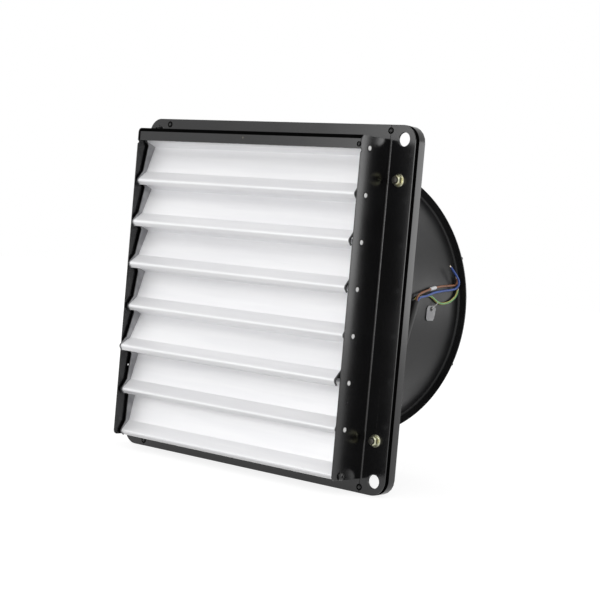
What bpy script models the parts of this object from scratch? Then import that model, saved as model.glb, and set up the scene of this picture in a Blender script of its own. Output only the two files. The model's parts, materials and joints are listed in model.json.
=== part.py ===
"""Wall exhaust fan with a gravity shutter.

X runs to the right, +Y runs back through the wall and Z is up. The origin lies on the
drum's axis in the plane of the wall, which the tray's rim rests against. The shutter
faces -Y. All lengths are in metres.
"""
import math

import bmesh
import bpy
from mathutils import Matrix, Vector

# Mounting flange and tray
PLATE_WIDTH = 0.400
PLATE_HEIGHT = 0.3945
PLATE_CORNER = 0.018
SHEET = 0.0012
TRAY_DEPTH = 0.0161
TRAY_FOLD = 0.0031
WALL_HOLE_RADIUS = 0.0075
WALL_HOLE_INSET_X = 0.0151
WALL_HOLE_INSET_Z = 0.01525
SEAM_GAP = 0.0004

# Clearances and the overrun of every cut
GAP = 0.0003
RUNNING_GAP = 0.0003
OVERRUN = 0.004

# Shutter frame
SIDE_INSET = 0.0320
SIDE_MARGIN = 0.01595
SHUTTER_DEPTH = 0.0495
SIDE_CORNER = 0.005
RELIEF_RADIUS = 0.0017
RELIEF_BELOW_TOP = 0.0161
TOP_LIP = 0.0144
TOP_FOLD = 0.0030
FLANGE_FOLD = 0.0020
STOP_LIP = 0.007
STOP_LIP_BACK = 0.0066
PILOT_HOLE_RADIUS = 0.0011
PILOT_HOLE_SHARE = 5.4162

# Louvres: each hangs on a curl round its pins, and its nose hooks over the next curl
LOUVRE_COUNT = 7
PIVOT_BELOW_TOP = 0.0127
ROD_ABOVE_BOTTOM = 0.00431
PIVOT_SET = 0.0355
LOUVRE_SHEET = 0.0008
LOUVRE_END_ROOM = 0.0037
CURL_RADIUS = 0.0030
CURL_END_DEG = 60.0
LEDGE_BACK = 0.0120
LEDGE_DROP = 0.0056
LEDGE_ROUND = 0.0012
FOOT_ROUND = 0.0012
NOSE_ROOM = 0.00068
LIP_ROOM = 0.00035
NOSE_ROUND = 0.0024
NOSE_UPPER_DEG = 46.2
NOSE_LOWER_DEG = -38.2
NOSE_UPPER_LENGTH = 0.0172
NOSE_LOWER_LENGTH = 0.0070
CAP_HEAD_START_DEG = -20.0
CAP_HEAD_END_DEG = 225.0
CAP_NOSE_START_DEG = 165.0
CAP_FIT_START_DEG = 258.0
REST_LEAN_DEG = (8.0, 11.0, 11.0, 6.0, 15.0, 5.0, 0.0)

# Louvre end caps and pivot pins
CAP_SHEET = 0.0015
CAP_MARGIN = 0.0012
CAP_HEAD_MARGIN = 0.0003
CAP_FRONT_TOP = 0.0010
CAP_FRONT_START = 0.0070
CAP_BACK_MARGIN = 0.0008
NEXT_HEAD_ROOM = 0.0004
PIN_RADIUS = 0.0030
PIN_SPIGOT_LENGTH = 0.010
PIN_COLLAR_RADIUS = 0.0045
PIN_PROUD = 0.0004
ROD_RADIUS = 0.0034
ROD_SCREW_RADIUS = 0.0019
ROD_SCREW_LENGTH = 0.012
ROD_SCREW_HEAD = 0.0042
ROD_SCREW_RISE = 0.0026

# Studs welded to the tray and the flanged nuts that hold the shutter on them
BOLT_INSET_X = 0.0173
BOLT_INSET_Z = 0.05875
BOLT_RADIUS = 0.0030
NUT_FLATS = 0.010
NUT_HEIGHT = 0.0048
NUT_FLANGE_RADIUS = 0.0071
NUT_FLANGE_SHEET = 0.0012
BOLT_PROUD = 0.0022

# Duct drum
DRUM_RADIUS = 0.1555
DRUM_REAR = 0.1544
DRUM_FLANGE = 0.0100
DRUM_FOLD = 0.0034
DRUM_FOOT = 0.0085

# Motor bracket
BRACKET_SHEET = 0.0030
BRACKET_Y = 0.0840
BRACKET_RING_RADIUS = 0.066
BRACKET_BORE = 0.024
ARM_WIDTH = 0.020
ARM_COUNT = 4
ARM_START_DEG = 41.25
FOOT_LENGTH = 0.026
FOOT_FOLD = 0.004

# Motor
MOTOR_RADIUS = 0.052
MOTOR_SHELL_LENGTH = 0.034
COVER_LENGTH = 0.016
COVER_WALL = 0.0030
COVER_ROUND = 0.007
SHELL_WALL = 0.0020
BEARING_RADIUS = 0.0160
BEARING_WIDTH = 0.010
BOSS_RADIUS = 0.0200
BOSS_PROUD = 0.006
EAR_RADIUS = 0.0062
EAR_X = 0.0575
MOTOR_BOLT_RADIUS = 0.0022
MOTOR_BOLT_HEAD = 0.0040
MOTOR_BOLT_RISE = 0.0030
SHAFT_RADIUS = 0.0060
SHAFT_FRONT = 0.0330
STATOR_BORE = 0.0305
STATOR_LENGTH = 0.028
WINDING_INNER = 0.0330
WINDING_DEPTH = 0.0070
WINDING_ROUND_SHARE = 0.3333
SLOT_COUNT = 6
SLOT_RADIUS = 0.0400
SLOT_WIRE_RADIUS = 0.0036
AIR_GAP = 0.0006
BEARING_SEAT = 0.0003

# Impeller
BLADE_TIP_ROOM = 0.0068
IMPELLER_Y = 0.0560
BLADE_COUNT = 5
BLADE_SHEET = 0.0012
BLADE_ROOT = 0.040
BLADE_ROOT_WIDTH = 0.050
BLADE_TIP_WIDTH = 0.098
BLADE_ROOT_DEG = 33.0
BLADE_TIP_DEG = 21.0
BLADE_CAMBER = 0.0075
BLADE_SWEEP_DEG = 12.0
BLADE_SPAN_STEPS = 6
BLADE_CHORD_STEPS = 4
SPIDER_RADIUS = 0.030
SPIDER_SHEET = 0.0025
SPIDER_ARM_REACH = 0.072
SPIDER_ARM_WIDTH = 0.022
SPIDER_ROUND_SHARE = 0.3333
SPIDER_ROOT_SHARE = 0.5
HUB_RADIUS = 0.0130
HUB_FLANGE_RADIUS = 0.0220
HUB_FLANGE_SHEET = 0.0030
HUB_PROUD = 0.0030
HUB_BACK = 0.0120
SHAFT_NUT_FLATS = 0.017
SHAFT_NUT_HEIGHT = 0.0065

# Wire guard over the drum's inlet
GUARD_WIRE = 0.0018
GUARD_RIM_WIRE = 0.0021
GUARD_RIM_INSET = 0.00387
GUARD_RING_COUNT = 4
GUARD_INNER_RADIUS = 0.030
GUARD_OUTER_INSET = 0.0170
GUARD_DISH = 0.0090
GUARD_SPOKES = 8
GUARD_SPOKE_START_DEG = 22.5
GUARD_WELD = 0.0005
GUARD_CLIP_DEG = (90.0, 270.0)
GUARD_CLIP_WIDTH = 0.012
GUARD_CLIP_SHEET = 0.0008

# Wiring
CABLE_RADIUS = 0.0040
WIRE_RADIUS = 0.00125
GROMMET_DEG = -71.25
GROMMET_Y = 0.108
GROMMET_LIP = 0.0075
GROMMET_RISE = 0.0022
BOOT_ROOT = 0.0068
BOOT_TIP = 0.0052
BOOT_LENGTH = 0.0210
BOOT_GROOVE = 0.0006
BOOT_MOUTH = 0.0050
BOOT_RIB_COUNT = 4
CLIP_DEG = -26.25
CLIP_Y = 0.0600
CLIP_SLANT_DEG = 14.0
CLIP_SHEET = 0.0010
CLIP_WIDTH = 0.009
CLIP_FOOT = 0.009
TAG_SHEET = 0.0008

# The cable's route outside the drum, straight out through its tapered boot, down in a loose
# bend and up the drum's right side: angle about the drum's axis in degrees, distance out
# from the drum's sheet and distance behind the wall plane
CABLE_ROUTE = (
    (-71.25, 0.0025, 0.1080),
    (-71.25, 0.0125, 0.1080),
    (-71.25, 0.0230, 0.1080),
    (-69.99, 0.0378, 0.1068),
    (-67.05, 0.0517, 0.1041),
    (-63.14, 0.0604, 0.0995),
    (-58.87, 0.0623, 0.0932),
    (-54.69, 0.0566, 0.0865),
    (-50.89, 0.0437, 0.0811),
    (-47.73, 0.0251, 0.0766),
    (-44.63, 0.0143, 0.0738),
    (-40.23, 0.0071, 0.0707),
    (-32.9, 0.0052, 0.0651),
    (-26.2, 0.0047, 0.0600),
    (-22.0, 0.0047, 0.0568),
    (-17.4, 0.0047, 0.0548),
    (-12.7, 0.0047, 0.0538),
    (-8.0, 0.0047, 0.0545),
    (-3.8, 0.0046, 0.0573),
    (0.0, 0.0045, 0.0608),
    (2.0, 0.0043, 0.0629),
    (3.6, 0.0043, 0.0647),
)
BROWN_ROUTE = (
    (4.05, 0.0052, 0.0638),
    (4.95, 0.0053, 0.0647),
    (6.1, 0.0049, 0.0680),
    (7.15, 0.0043, 0.0752),
    (8.1, 0.0037, 0.0850),
    (8.9, 0.0035, 0.0940),
    (9.5, 0.0035, 0.1020),
    (10.0, 0.0035, 0.1100),
    (10.45, 0.0035, 0.1230),
    (10.75, 0.0035, 0.1340),
    (10.95, 0.0035, 0.1405),
    (11.3, 0.0035, 0.1438),
    (11.95, 0.0035, 0.1458),
    (12.9, 0.0035, 0.1465),
    (13.9, 0.0035, 0.1457),
)
BLUE_ROUTE = (
    (3.64, 0.0052, 0.0666),
    (4.5, 0.0053, 0.0673),
    (5.2, 0.0053, 0.0704),
    (5.6, 0.0053, 0.0754),
    (6.0, 0.0053, 0.0825),
    (6.7, 0.0051, 0.0905),
    (7.4, 0.0049, 0.0980),
    (8.0, 0.0043, 0.1090),
    (8.55, 0.0039, 0.1220),
    (8.95, 0.0042, 0.1330),
    (9.6, 0.0053, 0.1402),
    (11.0, 0.0067, 0.1444),
    (12.9, 0.0075, 0.1440),
    (14.8, 0.0075, 0.1404),
    (16.5, 0.0071, 0.1368),
    (18.2, 0.0067, 0.1332),
)
EARTH_ROUTE = (
    (3.82, 0.0026, 0.0653),
    (4.65, 0.0024, 0.0660),
    (5.25, 0.0020, 0.0692),
    (5.5, 0.0017, 0.0745),
    (5.8, 0.0017, 0.0820),
    (6.2, 0.0017, 0.0895),
    (6.1, 0.0017, 0.0950),
    (5.3, 0.0019, 0.1003),
    (4.2, 0.0021, 0.1055),
    (3.4, 0.0021, 0.1120),
    (3.2, 0.0023, 0.1200),
    (4.0, 0.0025, 0.1310),
    (5.7, 0.0027, 0.1405),
    (7.4, 0.0029, 0.1450),
    (8.9, 0.0031, 0.1470),
)
# The motor lead inside the drum, from the motor's shell to the grommet: angle, share of the
# way from the shell to the drum and distance behind the wall plane
LEAD_ROUTE = (
    (-71.25, 0.0029, 0.1080),
    (-71.25, 0.0782, 0.1080),
    (-70.0, 0.2346, 0.1086),
    (-69.2, 0.4203, 0.1094),
    (-69.4, 0.6061, 0.1094),
    (-70.2, 0.7820, 0.1086),
    (-71.25, 0.9384, 0.1080),
    (-71.25, 1.0283, 0.1080),
)
# The tag's outline against the drum: distance behind the wall plane and height
TAG_OUTLINE = (
    (0.0930, -0.0112),
    (0.1035, -0.0112),
    (0.1056, -0.0085),
    (0.1080, 0.0028),
    (0.1036, 0.0060),
    (0.0942, 0.0060),
    (0.0910, 0.0028),
    (0.0908, -0.0088),
)
TAG_ROUND = 0.0014
TAG_HOLE = (0.0990, 0.0022)
TAG_HOLE_RADIUS = 0.0018

# Facets round a full turn, by size of the piece
LARGE_STEPS = 48
MEDIUM_STEPS = 18
SMALL_STEPS = 10
TINY_STEPS = 8
NUT_STEPS = 12
GUARD_STEPS = 32
WIRE_SPACING_SHARE = 2.9
CABLE_SPACING_SHARE = 2.6
LEAD_SPACING_SHARE = 2.2
WIRE_SIDES = 5
FOLD_STEPS = 3
CORNER_STEPS = 5
ARC_STEPS = 6
FIT_STEPS = 4
WINDING_STEPS = 1
TAG_STEPS = 2
SMOOTH_DEG = 35.0
ROUTE_FINENESS = 20
WELD = 0.000002

# Directions in a section, in degrees
UP_DEG = 90.0
LEFT_DEG = 180.0
DOWN_DEG = 270.0
FULL_TURN_DEG = 360.0

# Places worked out from the driving dimensions
FLANGE_BACK = -TRAY_DEPTH - GAP
FLANGE_FRONT = FLANGE_BACK - SHEET
SHUTTER_FRONT = FLANGE_FRONT - SHUTTER_DEPTH
PIVOT_Y = FLANGE_FRONT - PIVOT_SET
SIDE_X = PLATE_WIDTH / 2 - SIDE_INSET
SIDE_HALF = PLATE_HEIGHT / 2 - SIDE_MARGIN
SIDE_INNER = SIDE_X - SHEET
LOUVRE_HALF = SIDE_INNER - LOUVRE_END_ROOM
WALL_HOLE_X = PLATE_WIDTH / 2 - WALL_HOLE_INSET_X
WALL_HOLE_Z = PLATE_HEIGHT / 2 - WALL_HOLE_INSET_Z
BOLT_X = PLATE_WIDTH / 2 - BOLT_INSET_X
BOLT_Z = PLATE_HEIGHT / 2 - BOLT_INSET_Z
PIVOT_TOP = SIDE_HALF - PIVOT_BELOW_TOP
PIVOT_PITCH = (PIVOT_TOP + SIDE_HALF - ROD_ABOVE_BOTTOM) / LOUVRE_COUNT
PILOT_HOLE_Z = PIVOT_TOP - PIVOT_PITCH * PILOT_HOLE_SHARE
GUARD_OUTER_RADIUS = DRUM_RADIUS - GUARD_OUTER_INSET
CURL_OUTER = CURL_RADIUS + LOUVRE_SHEET / 2
DRUM_INNER = DRUM_RADIUS - SHEET
IMPELLER_RADIUS = DRUM_INNER - BLADE_TIP_ROOM
DRUM_FRONT = -TRAY_DEPTH + SHEET + GAP
FACET = math.cos(math.pi / LARGE_STEPS)
MOTOR_FRONT = BRACKET_Y + BRACKET_SHEET + GAP
SHELL_FRONT = MOTOR_FRONT + COVER_LENGTH
SHELL_REAR = SHELL_FRONT + MOTOR_SHELL_LENGTH
MOTOR_REAR = SHELL_REAR + COVER_LENGTH

# Turns a shape drawn in its own XY plane: across stands it in the YZ plane with its
# thickness along X, facing stands it in the XZ plane with its thickness along Y, and
# along lays a turned piece's axis on Y. Saddle bridges a piece that runs up along Z
ACROSS = Matrix(((0, 0, 1, 0), (1, 0, 0, 0), (0, 1, 0, 0), (0, 0, 0, 1)))
FACING = Matrix(((1, 0, 0, 0), (0, 0, -1, 0), (0, 1, 0, 0), (0, 0, 0, 1)))
SADDLE = Matrix(((0, 1, 0, 0), (1, 0, 0, 0), (0, 0, -1, 0), (0, 0, 0, 1)))
ALONG = Matrix(((1, 0, 0, 0), (0, 0, 1, 0), (0, -1, 0, 0), (0, 0, 0, 1)))

FINISHES = {
    "black paint": ((0.020, 0.020, 0.022), 0.30, 0.0),
    "black plastic": ((0.025, 0.025, 0.026), 0.45, 0.0),
    "satin aluminium": ((0.86, 0.86, 0.88), 0.32, 1.0),
    "yellow zinc": ((0.72, 0.63, 0.42), 0.30, 1.0),
    "bright steel": ((0.60, 0.60, 0.61), 0.28, 1.0),
    "core steel": ((0.32, 0.32, 0.33), 0.45, 1.0),
    "copper winding": ((0.60, 0.28, 0.12), 0.40, 1.0),
    "motor grey": ((0.10, 0.10, 0.11), 0.50, 0.0),
    "black rubber": ((0.018, 0.018, 0.018), 0.60, 0.0),
    "brown insulation": ((0.20, 0.075, 0.03), 0.40, 0.0),
    "blue insulation": ((0.05, 0.13, 0.45), 0.40, 0.0),
    "earth insulation": ((0.55, 0.62, 0.10), 0.40, 0.0),
    "grey card": ((0.50, 0.50, 0.50), 0.60, 0.0),
}


def clear_scene():
    for item in list(bpy.data.objects):
        bpy.data.objects.remove(item, do_unlink=True)


def collection(name):
    group = bpy.data.collections.new(name)
    bpy.context.scene.collection.children.link(group)
    return group


clear_scene()
FAN = collection("shutter_exhaust_fan")
CUTTERS = collection("cutters")


def finish(name):
    """Return the material of that name, made once from its row in the table."""
    found = bpy.data.materials.get(name)
    if found:
        return found
    colour, roughness, metallic = FINISHES[name]
    made = bpy.data.materials.new(name)
    made.use_nodes = True
    shader = made.node_tree.nodes["Principled BSDF"]
    shader.inputs["Base Color"].default_value = (*colour, 1.0)
    shader.inputs["Roughness"].default_value = roughness
    shader.inputs["Metallic"].default_value = metallic
    made.diffuse_color = (*colour, 1.0)
    return made


def piece(name, mesh, look, parent=None, smooth=True):
    """Put a mesh into the scene as one named sub-part of the fan."""
    made = bpy.data.objects.new(name, mesh)
    FAN.objects.link(made)
    mesh.materials.clear()
    mesh.materials.append(finish(look))
    made.parent = parent
    if smooth:
        mesh.shade_smooth()
        mesh.set_sharp_from_angle(angle=math.radians(SMOOTH_DEG))
    return made


def cutter(name, mesh):
    tool = bpy.data.objects.new(name, mesh)
    CUTTERS.objects.link(tool)
    tool.hide_render = True
    tool.display_type = "WIRE"
    return tool


def united(first, others):
    """Return one body made by joining other meshes to the first."""
    guides = [bpy.data.objects.new(f"body {i}", mesh) for i, mesh in enumerate([first] + others)]
    for guide in guides:
        CUTTERS.objects.link(guide)
    for guide in guides[1:]:
        combine(guides[0], guide, "UNION")
    bpy.context.view_layer.update()
    graph = bpy.context.evaluated_depsgraph_get()
    mesh = bpy.data.meshes.new_from_object(guides[0].evaluated_get(graph))
    for guide in guides:
        bpy.data.objects.remove(guide, do_unlink=True)
    return mesh


def combine(target, tool, operation):
    step = target.modifiers.new(operation.lower() + " " + tool.name, "BOOLEAN")
    step.operation = operation
    step.object = tool
    step.solver = "EXACT"


def thicken(target, thickness, offset=0.0):
    wall = target.modifiers.new("sheet", "SOLIDIFY")
    wall.thickness = thickness
    wall.offset = offset
    wall.use_even_offset = True


def baked(data, modify=None):
    """Return the finished mesh of a curve or mesh, welded and with its faces outward."""
    guide = bpy.data.objects.new("guide", data)
    CUTTERS.objects.link(guide)
    if modify:
        modify(guide)
    bpy.context.view_layer.update()
    graph = bpy.context.evaluated_depsgraph_get()
    mesh = bpy.data.meshes.new_from_object(guide.evaluated_get(graph))
    bpy.data.objects.remove(guide, do_unlink=True)
    shape = bmesh.new()
    shape.from_mesh(mesh)
    bmesh.ops.remove_doubles(shape, verts=shape.verts, dist=WELD)
    bmesh.ops.recalc_face_normals(shape, faces=shape.faces)
    shape.to_mesh(mesh)
    shape.free()
    return mesh


def from_bmesh(shape, name):
    mesh = bpy.data.meshes.new(name)
    bmesh.ops.recalc_face_normals(shape, faces=shape.faces)
    shape.to_mesh(mesh)
    shape.free()
    return mesh


def moved(mesh, matrix):
    """Return a copy of a mesh, carried by a matrix."""
    shape = bmesh.new()
    shape.from_mesh(mesh)
    bmesh.ops.transform(shape, matrix=matrix, verts=shape.verts)
    return from_bmesh(shape, mesh.name)


def gathered(parts):
    """Return one mesh of separate bodies for a cutter, from pairs of a mesh and its place."""
    shape = bmesh.new()
    for mesh, matrix in parts:
        first = len(shape.verts)
        shape.from_mesh(mesh)
        shape.verts.ensure_lookup_table()
        bmesh.ops.transform(shape, matrix=matrix, verts=shape.verts[first:])
    return from_bmesh(shape, "group")


def at(x, y, z):
    return Matrix.Translation((x, y, z))


def about_drum(degrees):
    """Turn about the drum's axis, so that +X swings towards +Z."""
    return Matrix.Rotation(-math.radians(degrees), 4, "Y")


def on_drum(degrees, radius, y):
    angle = math.radians(degrees)
    return Vector((radius * math.cos(angle), y, radius * math.sin(angle)))


def over_drum(degrees, lift, y):
    return on_drum(degrees, DRUM_RADIUS + lift, y)


def turned(profile, steps):
    """Spin a closed or axis-to-axis profile of radius and height about Z."""
    points = [(radius, 0.0, height) for radius, height in profile]
    edges = [(i, i + 1) for i in range(len(points) - 1)]
    if profile[0][0] > 0:
        edges.append((len(points) - 1, 0))
    line = bpy.data.meshes.new("profile")
    line.from_pydata(points, edges, [])

    def spin(guide):
        screw = guide.modifiers.new("turn", "SCREW")
        screw.axis = "Z"
        screw.angle = math.tau
        screw.steps = steps
        screw.render_steps = steps
        screw.use_merge_vertices = True
        screw.merge_threshold = WELD

    return baked(line, spin)


def rod(radius, low, high, steps):
    return turned([(0, high), (radius, high), (radius, low), (0, low)], steps)


def tube(outer, inner, low, high, steps):
    return turned([(outer, high), (outer, low), (inner, low), (inner, high)], steps)


def headed(radius, length, head, rise, steps):
    """A fastener along Z: its shank runs down from 0 and its low domed head stands above."""
    shoulder = head - rise / 2
    top = [(0, rise), (shoulder, rise), (head, rise / 2), (head, 0)]
    return turned(top + [(radius, 0), (radius, -length), (0, -length)], steps)


def hexagon(flats, low, high, bore=0.0):
    """A hexagonal prism along Z, with a round bore for a nut."""
    corner = flats / math.sqrt(3)
    outline = circle(0, 0, corner, 6)
    holes = [circle(0, 0, bore, NUT_STEPS)] if bore else []
    return moved(flat_plate([outline] + holes, high - low), at(0, 0, (low + high) / 2))


def circle(x, y, radius, steps):
    angles = [math.tau * i / steps for i in range(steps)]
    return [(x + radius * math.cos(a), y + radius * math.sin(a)) for a in angles]


def arc(centre, radius, start, end, steps):
    """Points along an arc between two angles in degrees, both ends included."""
    angles = [math.radians(start + (end - start) * i / steps) for i in range(steps + 1)]
    return [(centre[0] + radius * math.cos(a), centre[1] + radius * math.sin(a)) for a in angles]


def rounded(points, radii, steps, closed=False):
    """Turn the corners of a flat line to arcs; radii holds one radius for each point."""
    count = len(points)
    line = []
    for i, (point, radius) in enumerate(zip(points, radii)):
        ends = not closed and i in (0, count - 1)
        if ends or radius == 0:
            line.append(tuple(point))
            continue
        corner = Vector(point)
        back = (Vector(points[i - 1]) - corner).normalized()
        ahead = (Vector(points[(i + 1) % count]) - corner).normalized()
        half = back.angle(ahead) / 2
        centre = corner + (back + ahead).normalized() * (radius / math.sin(half))
        start = corner + back * (radius / math.tan(half)) - centre
        end = corner + ahead * (radius / math.tan(half)) - centre
        turn = start.angle(end)
        side = 1 if start.x * end.y - start.y * end.x > 0 else -1
        for k in range(steps + 1):
            angle = side * turn * k / steps
            spoke = Matrix.Rotation(angle, 2) @ start
            line.append((centre.x + spoke.x, centre.y + spoke.y))
    return line


def flat_plate(outlines, thickness):
    """A flat sheet in the XY plane from an outline and its holes, half above and half below."""
    curve = bpy.data.curves.new("outline", "CURVE")
    curve.dimensions = "2D"
    curve.fill_mode = "BOTH"
    curve.extrude = thickness / 2
    for outline in outlines:
        spline = curve.splines.new("POLY")
        spline.points.add(len(outline) - 1)
        for slot, (x, y) in zip(spline.points, outline):
            slot.co = (x, y, 0, 1)
        spline.use_cyclic_u = True
    return baked(curve)


def strip(line, width, place):
    """An open sheet: a flat line in XY swept along Z for its width, carried by a matrix."""
    shape = bmesh.new()
    low = [shape.verts.new((x, y, -width / 2)) for x, y in line]
    high = [shape.verts.new((x, y, width / 2)) for x, y in line]
    for i in range(len(line) - 1):
        shape.faces.new((low[i], low[i + 1], high[i + 1], high[i]))
    bmesh.ops.transform(shape, matrix=place, verts=shape.verts)
    return from_bmesh(shape, "strip")


def folded(line, width, thickness, place):
    """A bent sheet of real thickness: the line is the middle of the sheet."""
    return baked(strip(line, width, place), lambda guide: thicken(guide, thickness))


def smooth_route(points, spacing):
    """Points at an even spacing along a smooth curve through the given ones."""
    dense = []
    ends = [points[0] * 2 - points[1]] + list(points) + [points[-1] * 2 - points[-2]]
    for a, b, c, d in zip(ends, ends[1:], ends[2:], ends[3:]):
        for k in range(ROUTE_FINENESS):
            t = k / ROUTE_FINENESS
            bend = (2 * a - 5 * b + 4 * c - d) * t**2
            twist = (3 * b - a - 3 * c + d) * t**3
            dense.append((2 * b + (c - a) * t + bend + twist) / 2)
    dense.append(points[-1])
    reach = [0.0]
    for a, b in zip(dense, dense[1:]):
        reach.append(reach[-1] + (b - a).length)
    count = max(2, round(reach[-1] / spacing))
    line = []
    k = 0
    for i in range(count + 1):
        goal = reach[-1] * i / count
        while k < len(reach) - 2 and reach[k + 1] < goal:
            k += 1
        share = (goal - reach[k]) / (reach[k + 1] - reach[k])
        line.append(dense[k].lerp(dense[k + 1], min(share, 1.0)))
    return line


def cord_mesh(points, radius, spacing_share):
    """A round cord along a smooth route, with a point every few diameters."""
    curve = bpy.data.curves.new("cord", "CURVE")
    curve.dimensions = "3D"
    curve.bevel_depth = radius
    curve.bevel_resolution = 2
    curve.use_fill_caps = True
    line = smooth_route([Vector(p) for p in points], 2 * radius * spacing_share)
    spline = curve.splines.new("POLY")
    spline.points.add(len(line) - 1)
    for slot, point in zip(spline.points, line):
        slot.co = (*point, 1)
    return baked(curve)


def across_plate(x_half, z_half):
    """The four places of a fastener that repeats to the left, right, top and bottom."""
    return [(x, z) for x in (-x_half, x_half) for z in (-z_half, z_half)]


def bores(places, radius, low, high, steps):
    """Cylinders along Y between two depths, one body for each place."""
    bore = moved(rod(radius, low - OVERRUN, high + OVERRUN, steps), ALONG)
    return [(bore, at(x, 0, z)) for x, z in places]


BOLT_PLACES = across_plate(BOLT_X, BOLT_Z)
HOLE_PLACES = across_plate(WALL_HOLE_X, WALL_HOLE_Z)
PIVOT_HEIGHTS = [PIVOT_TOP - PIVOT_PITCH * i for i in range(LOUVRE_COUNT)]
ROD_Z = PIVOT_TOP - PIVOT_PITCH * LOUVRE_COUNT
PIN_HOLE = PIN_RADIUS + RUNNING_GAP


def side_rail(name, side):
    """A folded rail: a flange on the tray and a wall that stands forward and holds the pins."""
    relief_z = SIDE_HALF - RELIEF_BELOW_TOP
    wall_line = rounded(
        [
            (FLANGE_BACK, -SIDE_HALF),
            (FLANGE_BACK, SIDE_HALF),
            (SHUTTER_FRONT, SIDE_HALF),
            (SHUTTER_FRONT, relief_z + RELIEF_RADIUS),
        ],
        [0, 0, SIDE_CORNER, 0],
        CORNER_STEPS,
    )
    wall_line += arc((SHUTTER_FRONT, relief_z), RELIEF_RADIUS, UP_DEG, -UP_DEG, CORNER_STEPS)[1:]
    wall_line += rounded(
        [(SHUTTER_FRONT, relief_z - RELIEF_RADIUS), (SHUTTER_FRONT, -SIDE_HALF), (FLANGE_BACK, -SIDE_HALF)],
        [0, SIDE_CORNER, 0],
        CORNER_STEPS,
    )[1:-1]
    holes = [circle(PIVOT_Y, z, PIN_HOLE, SMALL_STEPS) for z in PIVOT_HEIGHTS]
    holes.append(circle(PIVOT_Y, ROD_Z, ROD_SCREW_RADIUS + GAP, SMALL_STEPS))
    holes.append(circle(PIVOT_Y, PILOT_HOLE_Z, PILOT_HOLE_RADIUS, TINY_STEPS))
    place = at(side * (SIDE_X - SHEET / 2), 0, 0) @ ACROSS
    wall = moved(flat_plate([wall_line] + holes, SHEET), place)

    half = PLATE_HEIGHT / 2
    edge = PLATE_WIDTH / 2
    flange_line = rounded(
        [(SIDE_INNER, -half), (edge, -half), (edge, half), (SIDE_INNER, half)],
        [0, PLATE_CORNER, PLATE_CORNER, 0],
        CORNER_STEPS,
        closed=True,
    )
    holes = [circle(WALL_HOLE_X, z, WALL_HOLE_RADIUS, MEDIUM_STEPS) for z in (-WALL_HOLE_Z, WALL_HOLE_Z)]
    holes += [circle(BOLT_X, z, BOLT_RADIUS + GAP, SMALL_STEPS) for z in (-BOLT_Z, BOLT_Z)]
    outlines = [[(side * x, z) for x, z in line] for line in [flange_line] + holes]
    flange = moved(flat_plate(outlines, SHEET), at(0, FLANGE_BACK - SHEET / 2, 0) @ FACING)
    rail = piece(name, flange, "black paint", smooth=False)
    combine(rail, cutter(name + "_wall", wall), "UNION")


def cross_rails():
    """The top rail is a channel with a front lip, the bottom rail ends in a low stop lip."""
    length = 2 * (SIDE_INNER - SEAM_GAP)
    middle = FLANGE_FRONT + SHEET / 2
    web = SIDE_HALF - SHEET / 2
    front = SHUTTER_FRONT + SHEET / 2
    edge = PLATE_HEIGHT / 2
    top = rounded(
        [(middle, edge), (middle, web), (front, web), (front, SIDE_HALF - TOP_LIP)],
        [0, FLANGE_FOLD, TOP_FOLD, 0],
        FOLD_STEPS,
    )
    back = PIVOT_Y + STOP_LIP_BACK
    bottom = rounded(
        [(middle, -edge), (middle, -web), (back, -web), (back, STOP_LIP - web)],
        [0, FLANGE_FOLD, FLANGE_FOLD, 0],
        FOLD_STEPS,
    )
    for name, line in (("top_rail", top), ("bottom_rail", bottom)):
        piece(name, folded(line, length, SHEET, ACROSS), "black paint")


def mounting_tray():
    """A drawn tray with a round opening: its rim stands on the wall."""
    shape = bmesh.new()
    bmesh.ops.create_cube(shape, size=1.0)
    bmesh.ops.scale(shape, vec=(PLATE_WIDTH, TRAY_DEPTH, PLATE_HEIGHT), verts=shape.verts)
    bmesh.ops.translate(shape, vec=(0, -TRAY_DEPTH / 2, 0), verts=shape.verts)
    rear = [f for f in shape.faces if all(abs(v.co.y) < WELD for v in f.verts)]
    bmesh.ops.delete(shape, geom=rear, context="FACES_ONLY")
    corners = [e for e in shape.edges if abs(e.verts[0].co.y - e.verts[1].co.y) > WELD]
    bmesh.ops.bevel(
        shape, geom=corners, offset=PLATE_CORNER, segments=CORNER_STEPS, profile=0.5, affect="EDGES"
    )
    front = [e for e in shape.edges if all(abs(v.co.y + TRAY_DEPTH) < WELD for v in e.verts)]
    bmesh.ops.bevel(shape, geom=front, offset=TRAY_FOLD, segments=FOLD_STEPS, profile=0.5, affect="EDGES")
    tray = piece("mounting_tray", from_bmesh(shape, "tray"), "black paint")
    thicken(tray, SHEET, -1.0)
    tools = bores([(0, 0)], DRUM_INNER, -TRAY_DEPTH, DRUM_FRONT, LARGE_STEPS)
    tools += bores(HOLE_PLACES, WALL_HOLE_RADIUS, -TRAY_DEPTH, DRUM_FRONT, MEDIUM_STEPS)
    combine(tray, cutter("tray_bores", gathered(tools)), "DIFFERENCE")
    tip = FLANGE_FRONT - 2 * GAP - NUT_FLANGE_SHEET - NUT_HEIGHT - BOLT_PROUD
    stud = moved(rod(BOLT_RADIUS, tip, SHEET / 2 - TRAY_DEPTH, SMALL_STEPS), ALONG)
    studs = gathered([(stud, at(x, 0, z)) for x, z in BOLT_PLACES])
    combine(tray, cutter("tray_studs", studs), "UNION")


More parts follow.
